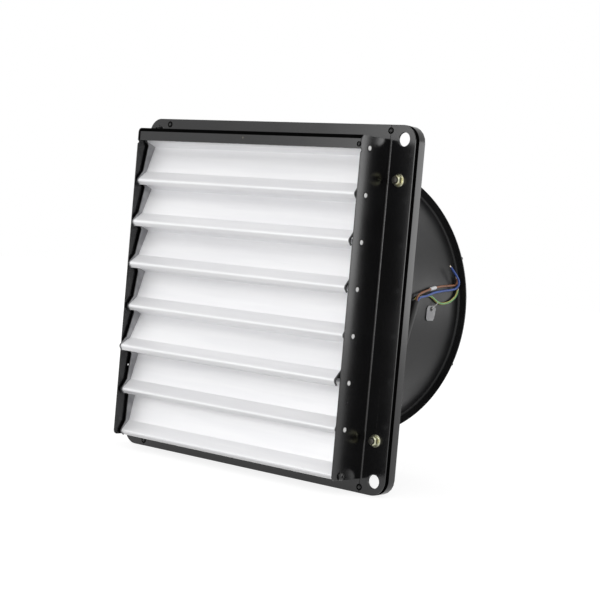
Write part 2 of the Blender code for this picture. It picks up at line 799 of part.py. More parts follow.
def duct_drum():
    """The rolled drum: a turned-out foot behind the tray and a turned-out rear flange."""
    middle = DRUM_RADIUS - SHEET / 2
    front = DRUM_FRONT + SHEET / 2
    rear = DRUM_REAR - SHEET / 2
    line = rounded(
        [
            (DRUM_RADIUS + DRUM_FOOT, front),
            (middle, front),
            (middle, rear),
            (DRUM_RADIUS + DRUM_FLANGE, rear),
        ],
        [0, 0, DRUM_FOLD, 0],
        FOLD_STEPS,
    )
    profile = bpy.data.meshes.new("drum profile")
    points = [(radius, 0.0, y) for radius, y in line]
    profile.from_pydata(points, [(i, i + 1) for i in range(len(points) - 1)], [])

    def spin(guide):
        screw = guide.modifiers.new("turn", "SCREW")
        screw.axis = "Z"
        screw.angle = math.tau
        screw.steps = LARGE_STEPS
        screw.render_steps = LARGE_STEPS
        screw.use_merge_vertices = True
        screw.merge_threshold = WELD
        thicken(guide, SHEET)

    drum = piece("duct_drum", moved(baked(profile, spin), ALONG), "black paint")
    bore = moved(rod(CABLE_RADIUS + 2 * CLIP_SHEET + GAP, -OVERRUN, OVERRUN, SMALL_STEPS), ACROSS)
    bore = moved(bore, about_drum(GROMMET_DEG) @ at(DRUM_RADIUS, GROMMET_Y, 0))
    combine(drum, cutter("grommet_bore", bore), "DIFFERENCE")


def plate_nuts():
    """The flanged nuts on the tray's studs."""
    rear = FLANGE_FRONT - GAP
    flange = tube(NUT_FLANGE_RADIUS, BOLT_RADIUS + GAP, rear, rear - NUT_FLANGE_SHEET, NUT_STEPS)
    low = rear - NUT_FLANGE_SHEET - NUT_HEIGHT
    body = hexagon(NUT_FLATS, low, rear - NUT_FLANGE_SHEET / 2, BOLT_RADIUS + GAP)
    nut = moved(united(flange, [body]), ALONG)
    for i, (x, z) in enumerate(BOLT_PLACES):
        piece(f"plate_nut_{i + 1}", moved(nut, at(x, 0, z)), "yellow zinc", smooth=False)


def nose_corner():
    """Where the nose's two slopes would meet, measured from the next pivot."""
    up = math.radians(NOSE_UPPER_DEG)
    low = math.radians(NOSE_LOWER_DEG)
    upper = CURL_OUTER + LOUVRE_SHEET / 2 + NOSE_ROOM
    lower = CURL_OUTER + LOUVRE_SHEET / 2 + LIP_ROOM
    n1 = (-math.sin(up), math.cos(up))
    n2 = (math.sin(low), -math.cos(low))
    det = n1[0] * n2[1] - n1[1] * n2[0]
    return Vector(((upper * n2[1] - lower * n1[1]) / det, (n1[0] * lower - n2[0] * upper) / det))


def louvre_points():
    """The corners of the closed louvre's section, from its pivot: back is +, up is +."""
    up = math.radians(NOSE_UPPER_DEG)
    low = math.radians(NOSE_LOWER_DEG)
    corner = Vector((0, -PIVOT_PITCH)) + nose_corner()
    foot = corner + Vector((math.cos(up), math.sin(up))) * NOSE_UPPER_LENGTH
    lip = corner + Vector((math.cos(low), math.sin(low))) * NOSE_LOWER_LENGTH
    return Vector((LEDGE_BACK, -LEDGE_DROP)), foot, corner, lip


def louvre_line():
    """The middle of the louvre's sheet, from the end of the curl to the lip."""
    ledge, foot, corner, lip = louvre_points()
    curl = arc((0, 0), CURL_RADIUS, CURL_END_DEG, DOWN_DEG, ARC_STEPS)
    rest = rounded(
        [curl[-1], ledge, foot, corner, lip],
        [0, LEDGE_ROUND, FOOT_ROUND, NOSE_ROUND, 0],
        FOLD_STEPS + 1,
    )
    return curl + rest[1:]


def end_cap_line():
    """The end cap's outline: round the curl, down its straight front edge and round the nose."""
    ledge, foot, corner, lip = louvre_points()
    pivot = Vector((0, -PIVOT_PITCH))
    head = CURL_OUTER + CAP_HEAD_MARGIN
    up = math.radians(NOSE_UPPER_DEG)
    low = math.radians(NOSE_LOWER_DEG)
    opening = math.radians(NOSE_UPPER_DEG - NOSE_LOWER_DEG)
    middle = (up + low) / 2
    centre = corner + Vector((math.cos(middle), math.sin(middle))) * (NOSE_ROUND / math.sin(opening / 2))
    nose = NOSE_ROUND + CAP_MARGIN
    inside = CURL_OUTER + CAP_HEAD_MARGIN + NEXT_HEAD_ROOM
    down = Vector((math.sin(low), -math.cos(low)))
    back = Vector((math.sin(up), -math.cos(up)))
    face_back = (ledge - foot).normalized()
    behind = Vector((face_back.y, -face_back.x)) * CAP_BACK_MARGIN
    front_foot = (0.0, foot.y)
    line = arc((0, 0), head, CAP_HEAD_START_DEG, CAP_HEAD_END_DEG, ARC_STEPS)
    line.append((CAP_FRONT_TOP, -CAP_FRONT_START))
    line.append(front_foot)
    line += arc(centre, nose, CAP_NOSE_START_DEG, DOWN_DEG + NOSE_LOWER_DEG, FOLD_STEPS)
    line.append(tuple(lip + down * CAP_MARGIN))
    line += arc(pivot, inside, CAP_FIT_START_DEG, UP_DEG + NOSE_UPPER_DEG, FIT_STEPS)
    line.append(tuple(foot + back * LOUVRE_SHEET + behind))
    line.append(tuple(ledge + behind))
    line.append((ledge.x + CAP_BACK_MARGIN, ledge.y + CAP_BACK_MARGIN))
    return line


def louvres():
    """Seven louvres, each on an axis, with end caps whose pins turn in the side rails."""
    sheet = folded(louvre_line(), 2 * LOUVRE_HALF, LOUVRE_SHEET, ACROSS)
    spigot = CURL_RADIUS - LOUVRE_SHEET / 2 - RUNNING_GAP
    cap_in = LOUVRE_HALF + GAP
    cap_out = cap_in + CAP_SHEET
    collar_out = SIDE_INNER - RUNNING_GAP
    pin = turned(
        [
            (0, SIDE_X + PIN_PROUD),
            (PIN_RADIUS, SIDE_X + PIN_PROUD),
            (PIN_RADIUS, collar_out),
            (PIN_COLLAR_RADIUS, collar_out),
            (PIN_COLLAR_RADIUS, cap_out - GAP),
            (spigot, cap_out - GAP),
            (spigot, LOUVRE_HALF - PIN_SPIGOT_LENGTH),
            (0, LOUVRE_HALF - PIN_SPIGOT_LENGTH),
        ],
        SMALL_STEPS,
    )
    plate = moved(flat_plate([end_cap_line()], CAP_SHEET), at((cap_in + cap_out) / 2, 0, 0) @ ACROSS)
    right = united(plate, [moved(pin, ACROSS)])
    left = moved(right, Matrix.Diagonal((-1, 1, 1, 1)))
    for i, (height, lean) in enumerate(zip(PIVOT_HEIGHTS, REST_LEAN_DEG)):
        axis = bpy.data.objects.new(f"louvre_{i + 1}_axis", None)
        FAN.objects.link(axis)
        axis.location = (0, PIVOT_Y, height)
        axis.rotation_euler = (-math.radians(lean), 0, 0)
        piece(f"louvre_{i + 1}", sheet.copy(), "satin aluminium", axis)
        piece(f"louvre_{i + 1}_left_cap", left.copy(), "black plastic", axis, smooth=False)
        piece(f"louvre_{i + 1}_right_cap", right.copy(), "black plastic", axis, smooth=False)


def stop_rod():
    """The fixed rod that the lowest louvre's nose rests on, and its two screws."""
    half = SIDE_INNER - GAP
    bar = tube(ROD_RADIUS, ROD_SCREW_RADIUS + GAP, half, -half, SMALL_STEPS)
    place = at(0, PIVOT_Y, ROD_Z)
    piece("stop_rod", moved(bar, place @ ACROSS), "black paint")
    screw = headed(ROD_SCREW_RADIUS, ROD_SCREW_LENGTH, ROD_SCREW_HEAD, ROD_SCREW_RISE, SMALL_STEPS)
    screw = moved(screw, at(SIDE_X + GAP, 0, 0) @ ACROSS)
    other_way = Matrix.Rotation(math.pi, 4, "Z")
    piece("stop_rod_right_screw", moved(screw, place), "black paint")
    piece("stop_rod_left_screw", moved(screw, place @ other_way), "black paint")


def motor_bracket():
    """A ring with four flat arms whose feet are folded back along the drum."""
    foot_x = DRUM_INNER * FACET - GAP - BRACKET_SHEET / 2
    middle = BRACKET_Y + BRACKET_SHEET / 2
    line = rounded(
        [(BRACKET_BORE + ARM_WIDTH, middle), (foot_x, middle), (foot_x, BRACKET_Y + FOOT_LENGTH)],
        [0, FOOT_FOLD, 0],
        FOLD_STEPS,
    )
    arm = folded(line, ARM_WIDTH, BRACKET_SHEET, Matrix.Identity(4))
    rear = BRACKET_Y + BRACKET_SHEET
    ring = moved(tube(BRACKET_RING_RADIUS, BRACKET_BORE, BRACKET_Y, rear, MEDIUM_STEPS), ALONG)
    bracket = piece("motor_bracket", ring, "black paint", smooth=False)
    for i in range(ARM_COUNT):
        turn = about_drum(ARM_START_DEG + FULL_TURN_DEG * i / ARM_COUNT)
        combine(bracket, cutter(f"arm_{i + 1}", moved(arm, turn)), "UNION")
    tools = bores(ear_places(), MOTOR_BOLT_RADIUS + GAP, BRACKET_Y, BRACKET_Y, TINY_STEPS)
    combine(bracket, cutter("bracket_bores", gathered(tools)), "DIFFERENCE")


def ear_places():
    return [(-EAR_X, 0), (EAR_X, 0)]


def motor_cover(name, face, way):
    """A turned end cover with a bearing pocket and two ears: way is +1 when it opens to +Y."""
    depth = COVER_LENGTH
    inner = MOTOR_RADIUS - COVER_WALL
    pocket = BEARING_RADIUS + BEARING_SEAT
    floor = COVER_WALL
    boss = BOSS_PROUD
    seat = floor + BEARING_WIDTH + BEARING_SEAT - boss
    outer = rounded(
        [(BOSS_RADIUS, 0), (MOTOR_RADIUS, 0), (MOTOR_RADIUS, depth)],
        [0, COVER_ROUND, 0],
        FOLD_STEPS,
    )
    profile = [(SHAFT_RADIUS + 2 * GAP, -boss), (BOSS_RADIUS, -boss)] + outer
    profile += [(inner, depth), (inner, floor), (BOSS_RADIUS, floor), (BOSS_RADIUS, seat)]
    profile += [(pocket, seat), (pocket, floor - boss), (SHAFT_RADIUS + 2 * GAP, floor - boss)]
    flip = Matrix.Identity(4) if way > 0 else Matrix.Rotation(math.pi, 4, "X")
    body = moved(turned(profile, MEDIUM_STEPS), at(0, face, 0) @ ALONG @ flip)
    cover = piece(name, body, "motor grey")
    low, high = sorted((face, face + way * EAR_RADIUS))
    ear = moved(rod(EAR_RADIUS, low, high, SMALL_STEPS), ALONG)
    ears = gathered([(ear, at(x, 0, z)) for x, z in ear_places()])
    combine(cover, cutter(name + "_ears", ears), "UNION")
    hole = gathered(bores(ear_places(), MOTOR_BOLT_RADIUS + GAP, low, high, TINY_STEPS))
    combine(cover, cutter(name + "_bores", hole), "DIFFERENCE")


def motor():
    """Motor shell, covers, stator, windings, bearings and the long bolts that clamp them."""
    motor_cover("motor_front_cover", MOTOR_FRONT, 1)
    motor_cover("motor_rear_cover", MOTOR_REAR, -1)
    shell_low = SHELL_FRONT + GAP
    shell_high = SHELL_REAR - GAP
    inner = MOTOR_RADIUS - SHELL_WALL
    shell = moved(tube(MOTOR_RADIUS, inner, shell_high, shell_low, MEDIUM_STEPS), ALONG)
    piece("motor_shell", shell, "motor grey")
    middle = (SHELL_FRONT + SHELL_REAR) / 2
    low, high = middle - STATOR_LENGTH / 2, middle + STATOR_LENGTH / 2
    core = moved(tube(inner - GAP, STATOR_BORE, high, low, MEDIUM_STEPS), ALONG)
    core = piece("stator_core", core, "core steel")
    slots = [about_drum(FULL_TURN_DEG * i / SLOT_COUNT) @ at(SLOT_RADIUS, 0, 0) for i in range(SLOT_COUNT)]
    slot = moved(rod(SLOT_WIRE_RADIUS + GAP, low - OVERRUN, high + OVERRUN, TINY_STEPS), ALONG)
    combine(core, cutter("winding_slots", gathered([(slot, place) for place in slots])), "DIFFERENCE")
    outer = MOTOR_RADIUS - COVER_WALL - 4 * GAP
    rounds = WINDING_DEPTH * WINDING_ROUND_SHARE
    line = rounded(
        [(outer, 0), (outer, WINDING_DEPTH), (WINDING_INNER, WINDING_DEPTH), (WINDING_INNER, 0)],
        [0, rounds, rounds, 0],
        WINDING_STEPS,
    )
    rings = []
    for y, way in ((high + GAP, 1), (low - GAP, -1)):
        ring = turned([(radius, way * height) for radius, height in line], MEDIUM_STEPS)
        rings.append(moved(ring, at(0, y, 0) @ ALONG))
    wire = moved(rod(SLOT_WIRE_RADIUS, low - 2 * GAP, high + 2 * GAP, TINY_STEPS), ALONG)
    wires = [moved(wire, place) for place in slots]
    piece("stator_winding", united(rings[0], [rings[1]] + wires), "copper winding", smooth=False)
    rotor = moved(tube(STATOR_BORE - AIR_GAP, SHAFT_RADIUS + GAP, high, low, MEDIUM_STEPS), ALONG)
    piece("rotor_core", rotor, "core steel")
    front = MOTOR_FRONT - BOSS_PROUD + COVER_WALL + GAP
    rear = MOTOR_REAR + BOSS_PROUD - COVER_WALL - GAP
    ring = moved(tube(BEARING_RADIUS, SHAFT_RADIUS + GAP, BEARING_WIDTH, 0, MEDIUM_STEPS), ALONG)
    piece("front_bearing", moved(ring, at(0, front, 0)), "bright steel")
    piece("rear_bearing", moved(ring, at(0, rear - BEARING_WIDTH, 0)), "bright steel")
    shaft_rear = rear - BEARING_SEAT
    shaft = moved(rod(SHAFT_RADIUS, SHAFT_FRONT, shaft_rear, SMALL_STEPS), ALONG)
    piece("motor_shaft", shaft, "bright steel")
    head_y = MOTOR_REAR + GAP
    length = head_y - BRACKET_Y + MOTOR_BOLT_RISE
    bolt = headed(MOTOR_BOLT_RADIUS, length, MOTOR_BOLT_HEAD, MOTOR_BOLT_RISE, TINY_STEPS)
    for name, (x, z) in zip(("motor_left_bolt", "motor_right_bolt"), ear_places()):
        piece(name, moved(bolt, at(x, head_y, z) @ ALONG), "bright steel")


def blade_point(span, chord):
    """A point of the first blade: span runs root to tip, chord runs trailing to leading edge."""
    width = BLADE_ROOT_WIDTH + (BLADE_TIP_WIDTH - BLADE_ROOT_WIDTH) * math.sin(span * math.pi / 2)
    flat_share = (SPIDER_ARM_REACH - BLADE_ROOT) / (IMPELLER_RADIUS - BLADE_ROOT)
    outward = max(0.0, (span - flat_share) / (1 - flat_share))
    pitch = math.radians(BLADE_ROOT_DEG + (BLADE_TIP_DEG - BLADE_ROOT_DEG) * outward)
    along = (chord - 0.5) * width
    camber = BLADE_CAMBER * outward * (1 - (2 * chord - 1) ** 2)
    across = along * math.cos(pitch) - camber * math.sin(pitch)
    reach = math.sqrt(max(IMPELLER_RADIUS**2 - across**2, 0.0))
    radius = BLADE_ROOT + (reach - BLADE_ROOT) * span
    y = along * math.sin(pitch) + camber * math.cos(pitch)
    sweep = math.radians(BLADE_SWEEP_DEG) * outward**2
    z = across
    return (
        radius * math.cos(sweep) - z * math.sin(sweep),
        y,
        radius * math.sin(sweep) + z * math.cos(sweep),
    )


def impeller():
    """Five cambered blades joined to a spider with pitched arms, its hub and the shaft nut."""
    shape = bmesh.new()
    grid = []
    for i in range(BLADE_SPAN_STEPS + 1):
        shares = [(i / BLADE_SPAN_STEPS, j / BLADE_CHORD_STEPS) for j in range(BLADE_CHORD_STEPS + 1)]
        grid.append([shape.verts.new(blade_point(*share)) for share in shares])
    for low, high in zip(grid, grid[1:]):
        for a, b, c, d in zip(low, low[1:], high[1:], high):
            shape.faces.new((a, b, c, d))
    mesh = from_bmesh(shape, "blade")
    blade = baked(mesh, lambda guide: thicken(guide, BLADE_SHEET))
    turns = [about_drum(FULL_TURN_DEG * i / BLADE_COUNT) for i in range(BLADE_COUNT)]
    place = at(0, IMPELLER_Y, 0)
    pitch = Matrix.Rotation(-math.radians(BLADE_ROOT_DEG), 4, "X")
    root, side = SPIDER_RADIUS * SPIDER_ROOT_SHARE, SPIDER_ARM_WIDTH / 2
    curve = SPIDER_ARM_WIDTH * SPIDER_ROUND_SHARE
    line = rounded(
        [(root, -side), (SPIDER_ARM_REACH, -side), (SPIDER_ARM_REACH, side), (root, side)],
        [0, curve, curve, 0],
        FOLD_STEPS,
        closed=True,
    )
    offset = SPIDER_SHEET / 2
    arm = moved(flat_plate([line], SPIDER_SHEET), pitch @ at(0, -offset, 0) @ FACING)
    half = side * math.sin(math.radians(BLADE_ROOT_DEG)) + SPIDER_SHEET
    disc = moved(tube(SPIDER_RADIUS, HUB_RADIUS + GAP, half - offset, -half - offset, MEDIUM_STEPS), ALONG)
    others = [moved(part, turn) for turn in turns for part in (arm, blade)]
    piece("fan_impeller", moved(united(disc, others), place), "black paint")

    flange_back = half - offset + GAP
    front = -half - offset - HUB_PROUD
    hub = turned(
        [
            (HUB_RADIUS, front),
            (SHAFT_RADIUS + GAP, front),
            (SHAFT_RADIUS + GAP, flange_back + HUB_BACK),
            (HUB_RADIUS, flange_back + HUB_BACK),
            (HUB_RADIUS, flange_back + HUB_FLANGE_SHEET),
            (HUB_FLANGE_RADIUS, flange_back + HUB_FLANGE_SHEET),
            (HUB_FLANGE_RADIUS, flange_back),
            (HUB_RADIUS, flange_back),
        ],
        MEDIUM_STEPS,
    )
    piece("fan_hub", moved(hub, place @ ALONG), "bright steel")
    nut_rear = IMPELLER_Y + front - GAP
    nut = hexagon(SHAFT_NUT_FLATS, nut_rear - SHAFT_NUT_HEIGHT, nut_rear, SHAFT_RADIUS + GAP)
    piece("shaft_nut", moved(nut, ALONG), "bright steel", smooth=False)


def wire_guard():
    """Welded wire rings on bent spokes over the drum's rear flange, held by two clips."""
    rim_y = DRUM_REAR + GAP + GUARD_RIM_WIRE
    rim_radius = DRUM_RADIUS + DRUM_FLANGE - GUARD_RIM_INSET
    spoke_rim = rim_y + GUARD_RIM_WIRE + GUARD_WIRE - GUARD_WELD
    spoke_flat = spoke_rim + GUARD_DISH
    ring_y = spoke_flat - 2 * GUARD_WIRE + GUARD_WELD
    rings = []
    step = (GUARD_OUTER_RADIUS - GUARD_INNER_RADIUS) / (GUARD_RING_COUNT - 1)
    for i in range(GUARD_RING_COUNT):
        ring = guard_ring(GUARD_INNER_RADIUS + step * i, GUARD_WIRE, MEDIUM_STEPS)
        rings.append(moved(ring, at(0, ring_y, 0)))
    bend = (rim_radius + GUARD_OUTER_RADIUS) / 2
    route = [
        (rim_radius, spoke_rim, 0),
        (bend + GUARD_DISH / 2, spoke_rim, 0),
        (bend - GUARD_DISH / 2, spoke_flat, 0),
        (GUARD_INNER_RADIUS, spoke_flat, 0),
    ]
    curve = bpy.data.curves.new("spoke", "CURVE")
    curve.dimensions = "3D"
    curve.bevel_depth = GUARD_WIRE
    curve.bevel_resolution = 1
    curve.use_fill_caps = True
    spline = curve.splines.new("POLY")
    spline.points.add(len(route) - 1)
    for slot, point in zip(spline.points, route):
        slot.co = (*point, 1)
    spoke = baked(curve)
    angles = [GUARD_SPOKE_START_DEG + FULL_TURN_DEG * i / GUARD_SPOKES for i in range(GUARD_SPOKES)]
    spokes = [moved(spoke, about_drum(angle)) for angle in angles]
    rim = moved(guard_ring(rim_radius, GUARD_RIM_WIRE, GUARD_STEPS), at(0, rim_y, 0))
    piece("wire_guard", united(rim, spokes + rings), "black paint")

    outside = DRUM_RADIUS + DRUM_FLANGE + GAP * 3 + GUARD_CLIP_SHEET / 2
    rear = rim_y + GUARD_RIM_WIRE + GAP + GUARD_CLIP_SHEET / 2
    front = DRUM_REAR - SHEET - GAP - GUARD_CLIP_SHEET / 2
    inside = DRUM_RADIUS + DRUM_FOLD + GUARD_CLIP_SHEET
    line = [(inside, rear), (outside, rear), (outside, front), (inside + GUARD_CLIP_SHEET, front)]
    clip = folded(line, GUARD_CLIP_WIDTH, GUARD_CLIP_SHEET, Matrix.Identity(4))
    for name, angle in zip(("guard_top_clip", "guard_bottom_clip"), GUARD_CLIP_DEG):
        piece(name, moved(clip, about_drum(angle)), "bright steel", smooth=False)


def guard_ring(radius, wire, steps):
    """A round ring of wire about Y."""
    section = [(radius + x, y) for x, y in circle(0, 0, wire, WIRE_SIDES)]
    return moved(turned(section[::-1], steps), ALONG)


def boot_profile(base):
    """The outside of the grommet's boot, from its tip down: it tapers, with ring grooves."""
    line = []
    for i in range(BOOT_RIB_COUNT):
        rib = base + BOOT_LENGTH * (1 - i / BOOT_RIB_COUNT)
        below = rib - BOOT_LENGTH / BOOT_RIB_COUNT
        width = (rib - base) / BOOT_LENGTH
        foot = (below - base) / BOOT_LENGTH
        groove = below + BOOT_GROOVE * 2
        line.append((BOOT_ROOT + (BOOT_TIP - BOOT_ROOT) * width, rib))
        line.append((BOOT_ROOT + (BOOT_TIP - BOOT_ROOT) * foot, groove))
        line.append((BOOT_ROOT + (BOOT_TIP - BOOT_ROOT) * foot - BOOT_GROOVE, groove))
        line.append((BOOT_ROOT + (BOOT_TIP - BOOT_ROOT) * foot - BOOT_GROOVE, below))
    return line


def wiring():
    """The motor lead, its grommet, the supply cable on its saddle, the wires and the tag."""
    way = DRUM_INNER - MOTOR_RADIUS
    lead = [on_drum(angle, MOTOR_RADIUS + way * share, y) for angle, share, y in LEAD_ROUTE]
    piece("motor_lead", cord_mesh(lead, CABLE_RADIUS - 2 * GAP, LEAD_SPACING_SHARE), "black rubber")
    outer = CABLE_RADIUS + 2 * CLIP_SHEET
    inner = CABLE_RADIUS + GAP
    low = DRUM_INNER * FACET - GAP - GROMMET_RISE
    high = DRUM_RADIUS * FACET + GAP + GROMMET_RISE
    profile = boot_profile(high) + [
        (GROMMET_LIP, high - GROMMET_RISE / 2),
        (GROMMET_LIP, high - GROMMET_RISE),
        (outer, high - GROMMET_RISE),
        (outer, low + GROMMET_RISE),
        (GROMMET_LIP, low + GROMMET_RISE),
        (GROMMET_LIP, low + GROMMET_RISE / 2),
        (outer, low),
        (inner, low),
        (inner, high + BOOT_LENGTH - BOOT_MOUTH),
        (inner + GAP, high + BOOT_LENGTH),
    ]
    grommet = moved(turned(profile, SMALL_STEPS), at(0, GROMMET_Y, 0) @ ACROSS)
    piece("cable_grommet", moved(grommet, about_drum(GROMMET_DEG)), "black rubber")
    cable = [over_drum(*point) for point in CABLE_ROUTE]
    piece("supply_cable", cord_mesh(cable, CABLE_RADIUS, CABLE_SPACING_SHARE), "black rubber")
    for name, route, look in (
        ("brown_wire", BROWN_ROUTE, "brown insulation"),
        ("blue_wire", BLUE_ROUTE, "blue insulation"),
        ("earth_wire", EARTH_ROUTE, "earth insulation"),
    ):
        wire = [over_drum(*point) for point in route]
        piece(name, cord_mesh(wire, WIRE_RADIUS, WIRE_SPACING_SHARE), look)

    seat = GAP + CLIP_SHEET / 2
    crown = 3 * GAP + CABLE_RADIUS
    line = [(-crown - CLIP_FOOT, seat), (-crown - CLIP_SHEET, seat)]
    line += arc((0, crown), crown + CLIP_SHEET / 2, LEFT_DEG, 0, 2 * FOLD_STEPS)
    line.append((crown + CLIP_SHEET / 2, GAP))
    place = about_drum(CLIP_DEG) @ at(DRUM_RADIUS * FACET, CLIP_Y, 0)
    turn = Matrix.Rotation(math.radians(CLIP_SLANT_DEG), 4, "X")
    saddle = folded(line, CLIP_WIDTH, CLIP_SHEET, place @ turn @ SADDLE)
    piece("cable_clip", saddle, "black plastic", smooth=False)

    outline = rounded(TAG_OUTLINE, [TAG_ROUND] * len(TAG_OUTLINE), TAG_STEPS, closed=True)
    hole = circle(*TAG_HOLE, TAG_HOLE_RADIUS, SMALL_STEPS)
    place = at(DRUM_RADIUS + GAP + TAG_SHEET / 2, 0, 0)
    tag = moved(flat_plate([outline, hole], TAG_SHEET), place @ ACROSS)
    piece("cable_tag", tag, "grey card", smooth=False)


def build():
    side_rail("left_rail", -1)
    side_rail("right_rail", 1)
    cross_rails()
    mounting_tray()
    duct_drum()
    plate_nuts()
    louvres()
    stop_rod()
    motor_bracket()
    motor()
    impeller()
    wire_guard()
    wiring()


build()
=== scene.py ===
import json

import bmesh
import bpy
import numpy as np
from mathutils import Matrix, Vector

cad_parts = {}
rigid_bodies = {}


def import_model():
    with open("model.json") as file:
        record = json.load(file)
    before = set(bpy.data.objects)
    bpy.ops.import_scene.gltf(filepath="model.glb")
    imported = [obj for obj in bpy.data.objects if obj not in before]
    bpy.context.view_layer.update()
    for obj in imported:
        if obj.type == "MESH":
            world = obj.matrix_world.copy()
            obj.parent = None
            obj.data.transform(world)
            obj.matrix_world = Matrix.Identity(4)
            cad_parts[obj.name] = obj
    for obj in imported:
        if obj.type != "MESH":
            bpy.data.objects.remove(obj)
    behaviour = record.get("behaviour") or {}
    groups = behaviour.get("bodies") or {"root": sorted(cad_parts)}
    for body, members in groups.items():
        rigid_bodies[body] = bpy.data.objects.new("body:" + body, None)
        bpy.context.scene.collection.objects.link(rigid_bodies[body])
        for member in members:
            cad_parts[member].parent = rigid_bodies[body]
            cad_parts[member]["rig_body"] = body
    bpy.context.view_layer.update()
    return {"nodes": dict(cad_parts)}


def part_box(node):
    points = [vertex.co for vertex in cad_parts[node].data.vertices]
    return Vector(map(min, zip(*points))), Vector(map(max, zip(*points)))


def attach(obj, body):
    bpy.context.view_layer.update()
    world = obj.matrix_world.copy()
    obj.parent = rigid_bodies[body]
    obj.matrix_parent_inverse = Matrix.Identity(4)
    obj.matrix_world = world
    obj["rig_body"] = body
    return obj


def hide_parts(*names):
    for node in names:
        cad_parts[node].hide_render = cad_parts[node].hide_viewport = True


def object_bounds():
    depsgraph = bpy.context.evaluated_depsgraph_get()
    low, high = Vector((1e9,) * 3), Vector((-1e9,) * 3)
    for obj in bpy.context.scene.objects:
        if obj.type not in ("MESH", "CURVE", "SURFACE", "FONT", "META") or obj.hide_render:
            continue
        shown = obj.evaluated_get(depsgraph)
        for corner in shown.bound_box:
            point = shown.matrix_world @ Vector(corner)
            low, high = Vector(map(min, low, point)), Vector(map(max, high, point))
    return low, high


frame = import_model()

TAU = 2 * np.pi
SIDES = ((-1, "left"), (1, "right"))

# Sizes shared with the solids
SHEET = 0.0012
GAP = 0.0003
FLANGE_BACK, FLANGE_FRONT, SHUTTER_FRONT = -0.0164, -0.0176, -0.0671
SIDE_X, SIDE_INNER, SIDE_HALF = 0.168, 0.1668, 0.1813
PLATE_X, PLATE_Z, PLATE_CORNER = 0.200, 0.19725, 0.018
WALL_HOLE_X, WALL_HOLE_Z, WALL_HOLE = 0.1849, 0.182, 0.0075
STUD_X, STUD_Z, STUD_HOLE = 0.1827, 0.1385, 0.0033
PIVOT_Y, PIVOT_TOP, PIVOT_PITCH = -0.0531, 0.1686, 0.04937
PIVOT_HEIGHTS = [PIVOT_TOP - PIVOT_PITCH * i for i in range(7)]
PIN_HOLE = 0.0033
LEANS = (8.0, 11.0, 11.0, 6.0, 15.0, 5.0, 0.0)
ROD_Z, ROD_HOLE = -0.17699, 0.0022
PILOT_Z, PILOT_HOLE = -0.0988, 0.0011
DRUM_RADIUS, DRUM_FRONT, DRUM_REAR = 0.1555, -0.0146, 0.1544
CABLE_RADIUS, WIRE_RADIUS = 0.0040, 0.00125
IMPELLER = (0, 0.056, 0)

# Axes of a piece's own X, Y and Z in the fan's frame
UPRIGHT = ((1, 0, 0), (0, 1, 0), (0, 0, 1))
ALONG_X = ((0, 1, 0), (0, 0, 1), (1, 0, 0))
ALONG_MINUS_X = ((0, -1, 0), (0, 0, 1), (-1, 0, 0))
ALONG_Y = ((1, 0, 0), (0, 0, -1), (0, 1, 0))
ALONG_MINUS_Y = ((1, 0, 0), (0, 0, 1), (0, -1, 0))


def linked(name, data):
    made = bpy.data.objects.new(name, data)
    bpy.context.scene.collection.objects.link(made)
    return made


def make_camera():
    """The photograph's view, fitted to the flange's corners, the shutter and the drum."""
    data = bpy.data.cameras.new("view")
    data.sensor_width, data.lens, data.clip_start = 36, 93.34, 0.05
    camera = linked("view", data)
    right = Vector((0.75683, 0.64774, 0.08742)).normalized()
    back = Vector((0.64698, -0.76143, 0.04064)).normalized()
    up = back.cross(right).normalized()
    right = up.cross(back)
    turn = Matrix((right, up, back)).transposed().to_4x4()
    camera.matrix_world = Matrix.Translation((1.17757, -1.33173, 0.07061)) @ turn
    bpy.context.scene.camera = camera


make_camera()


# Grids of points

def skin(points, wrap_u=False, wrap_v=True, first=False, last=False):
    """Corners and faces of a grid: each square of four neighbouring points is one face. A
    wrapped direction joins its last line to its first; first and last close those rows."""
    points = np.asarray(points, float)
    count_u, count_v = points.shape[:2]
    index = np.arange(count_u * count_v).reshape(count_u, count_v)
    if wrap_u:
        index = np.concatenate([index, index[:1]])
    if wrap_v:
        index = np.concatenate([index, index[:, :1]], axis=1)
    quads = np.stack([index[:-1, :-1], index[1:, :-1], index[1:, 1:], index[:-1, 1:]], -1)
    faces = quads.reshape(-1, 4).tolist()
    if first:
        faces.append(np.arange(count_v)[::-1].tolist())
    if last:
        faces.append((np.arange(count_v) + (count_u - 1) * count_v).tolist())
    return points.reshape(-1, 3), faces


def capped(points):
    """A grid whose first and last rows are closed by a face each."""
    return skin(points, first=True, last=True)


def looped(points):
    """A grid that closes on itself both ways."""
    return skin(points, wrap_u=True)


def unit(vectors, least=0.0):
    """Each vector divided by its length."""
    return vectors / (np.linalg.norm(vectors, axis=-1, keepdims=True) + least)


def headings(path):
    """The direction of a path at each of its points."""
    return unit(np.gradient(path, axis=0))


def turns(steps):
    """Equal angles once round."""
    return np.arange(steps) * TAU / steps


def polar(radius, angle, height):
    """Points at a radius, a turn about Z and a height."""
    return np.stack(
        np.broadcast_arrays(radius * np.cos(angle), radius * np.sin(angle), height), -1)


def placed(points, origin=(0, 0, 0), axes=UPRIGHT):
    """Each point is its own coordinates times the three axes, plus the origin."""
    return points @ np.array(axes, float) + origin


def about_drum(points, degrees):
    """Turn points about the drum's axis, so that +X swings towards +Z."""
    angle = np.radians(degrees)
    x, y, z = np.moveaxis(points, -1, 0)
    return np.stack([x * np.cos(angle) - z * np.sin(angle), y,
                     x * np.sin(angle) + z * np.cos(angle)], -1)


def about_pins(points, index):
    """Swing points from a louvre's own axes to its place at rest: a lean about its pins."""
    angle = np.radians(LEANS[index])
    x, y, z = np.moveaxis(points, -1, 0)
    return np.stack([x, PIVOT_Y + y * np.cos(angle) + z * np.sin(angle),
                     PIVOT_HEIGHTS[index] - y * np.sin(angle) + z * np.cos(angle)], -1)


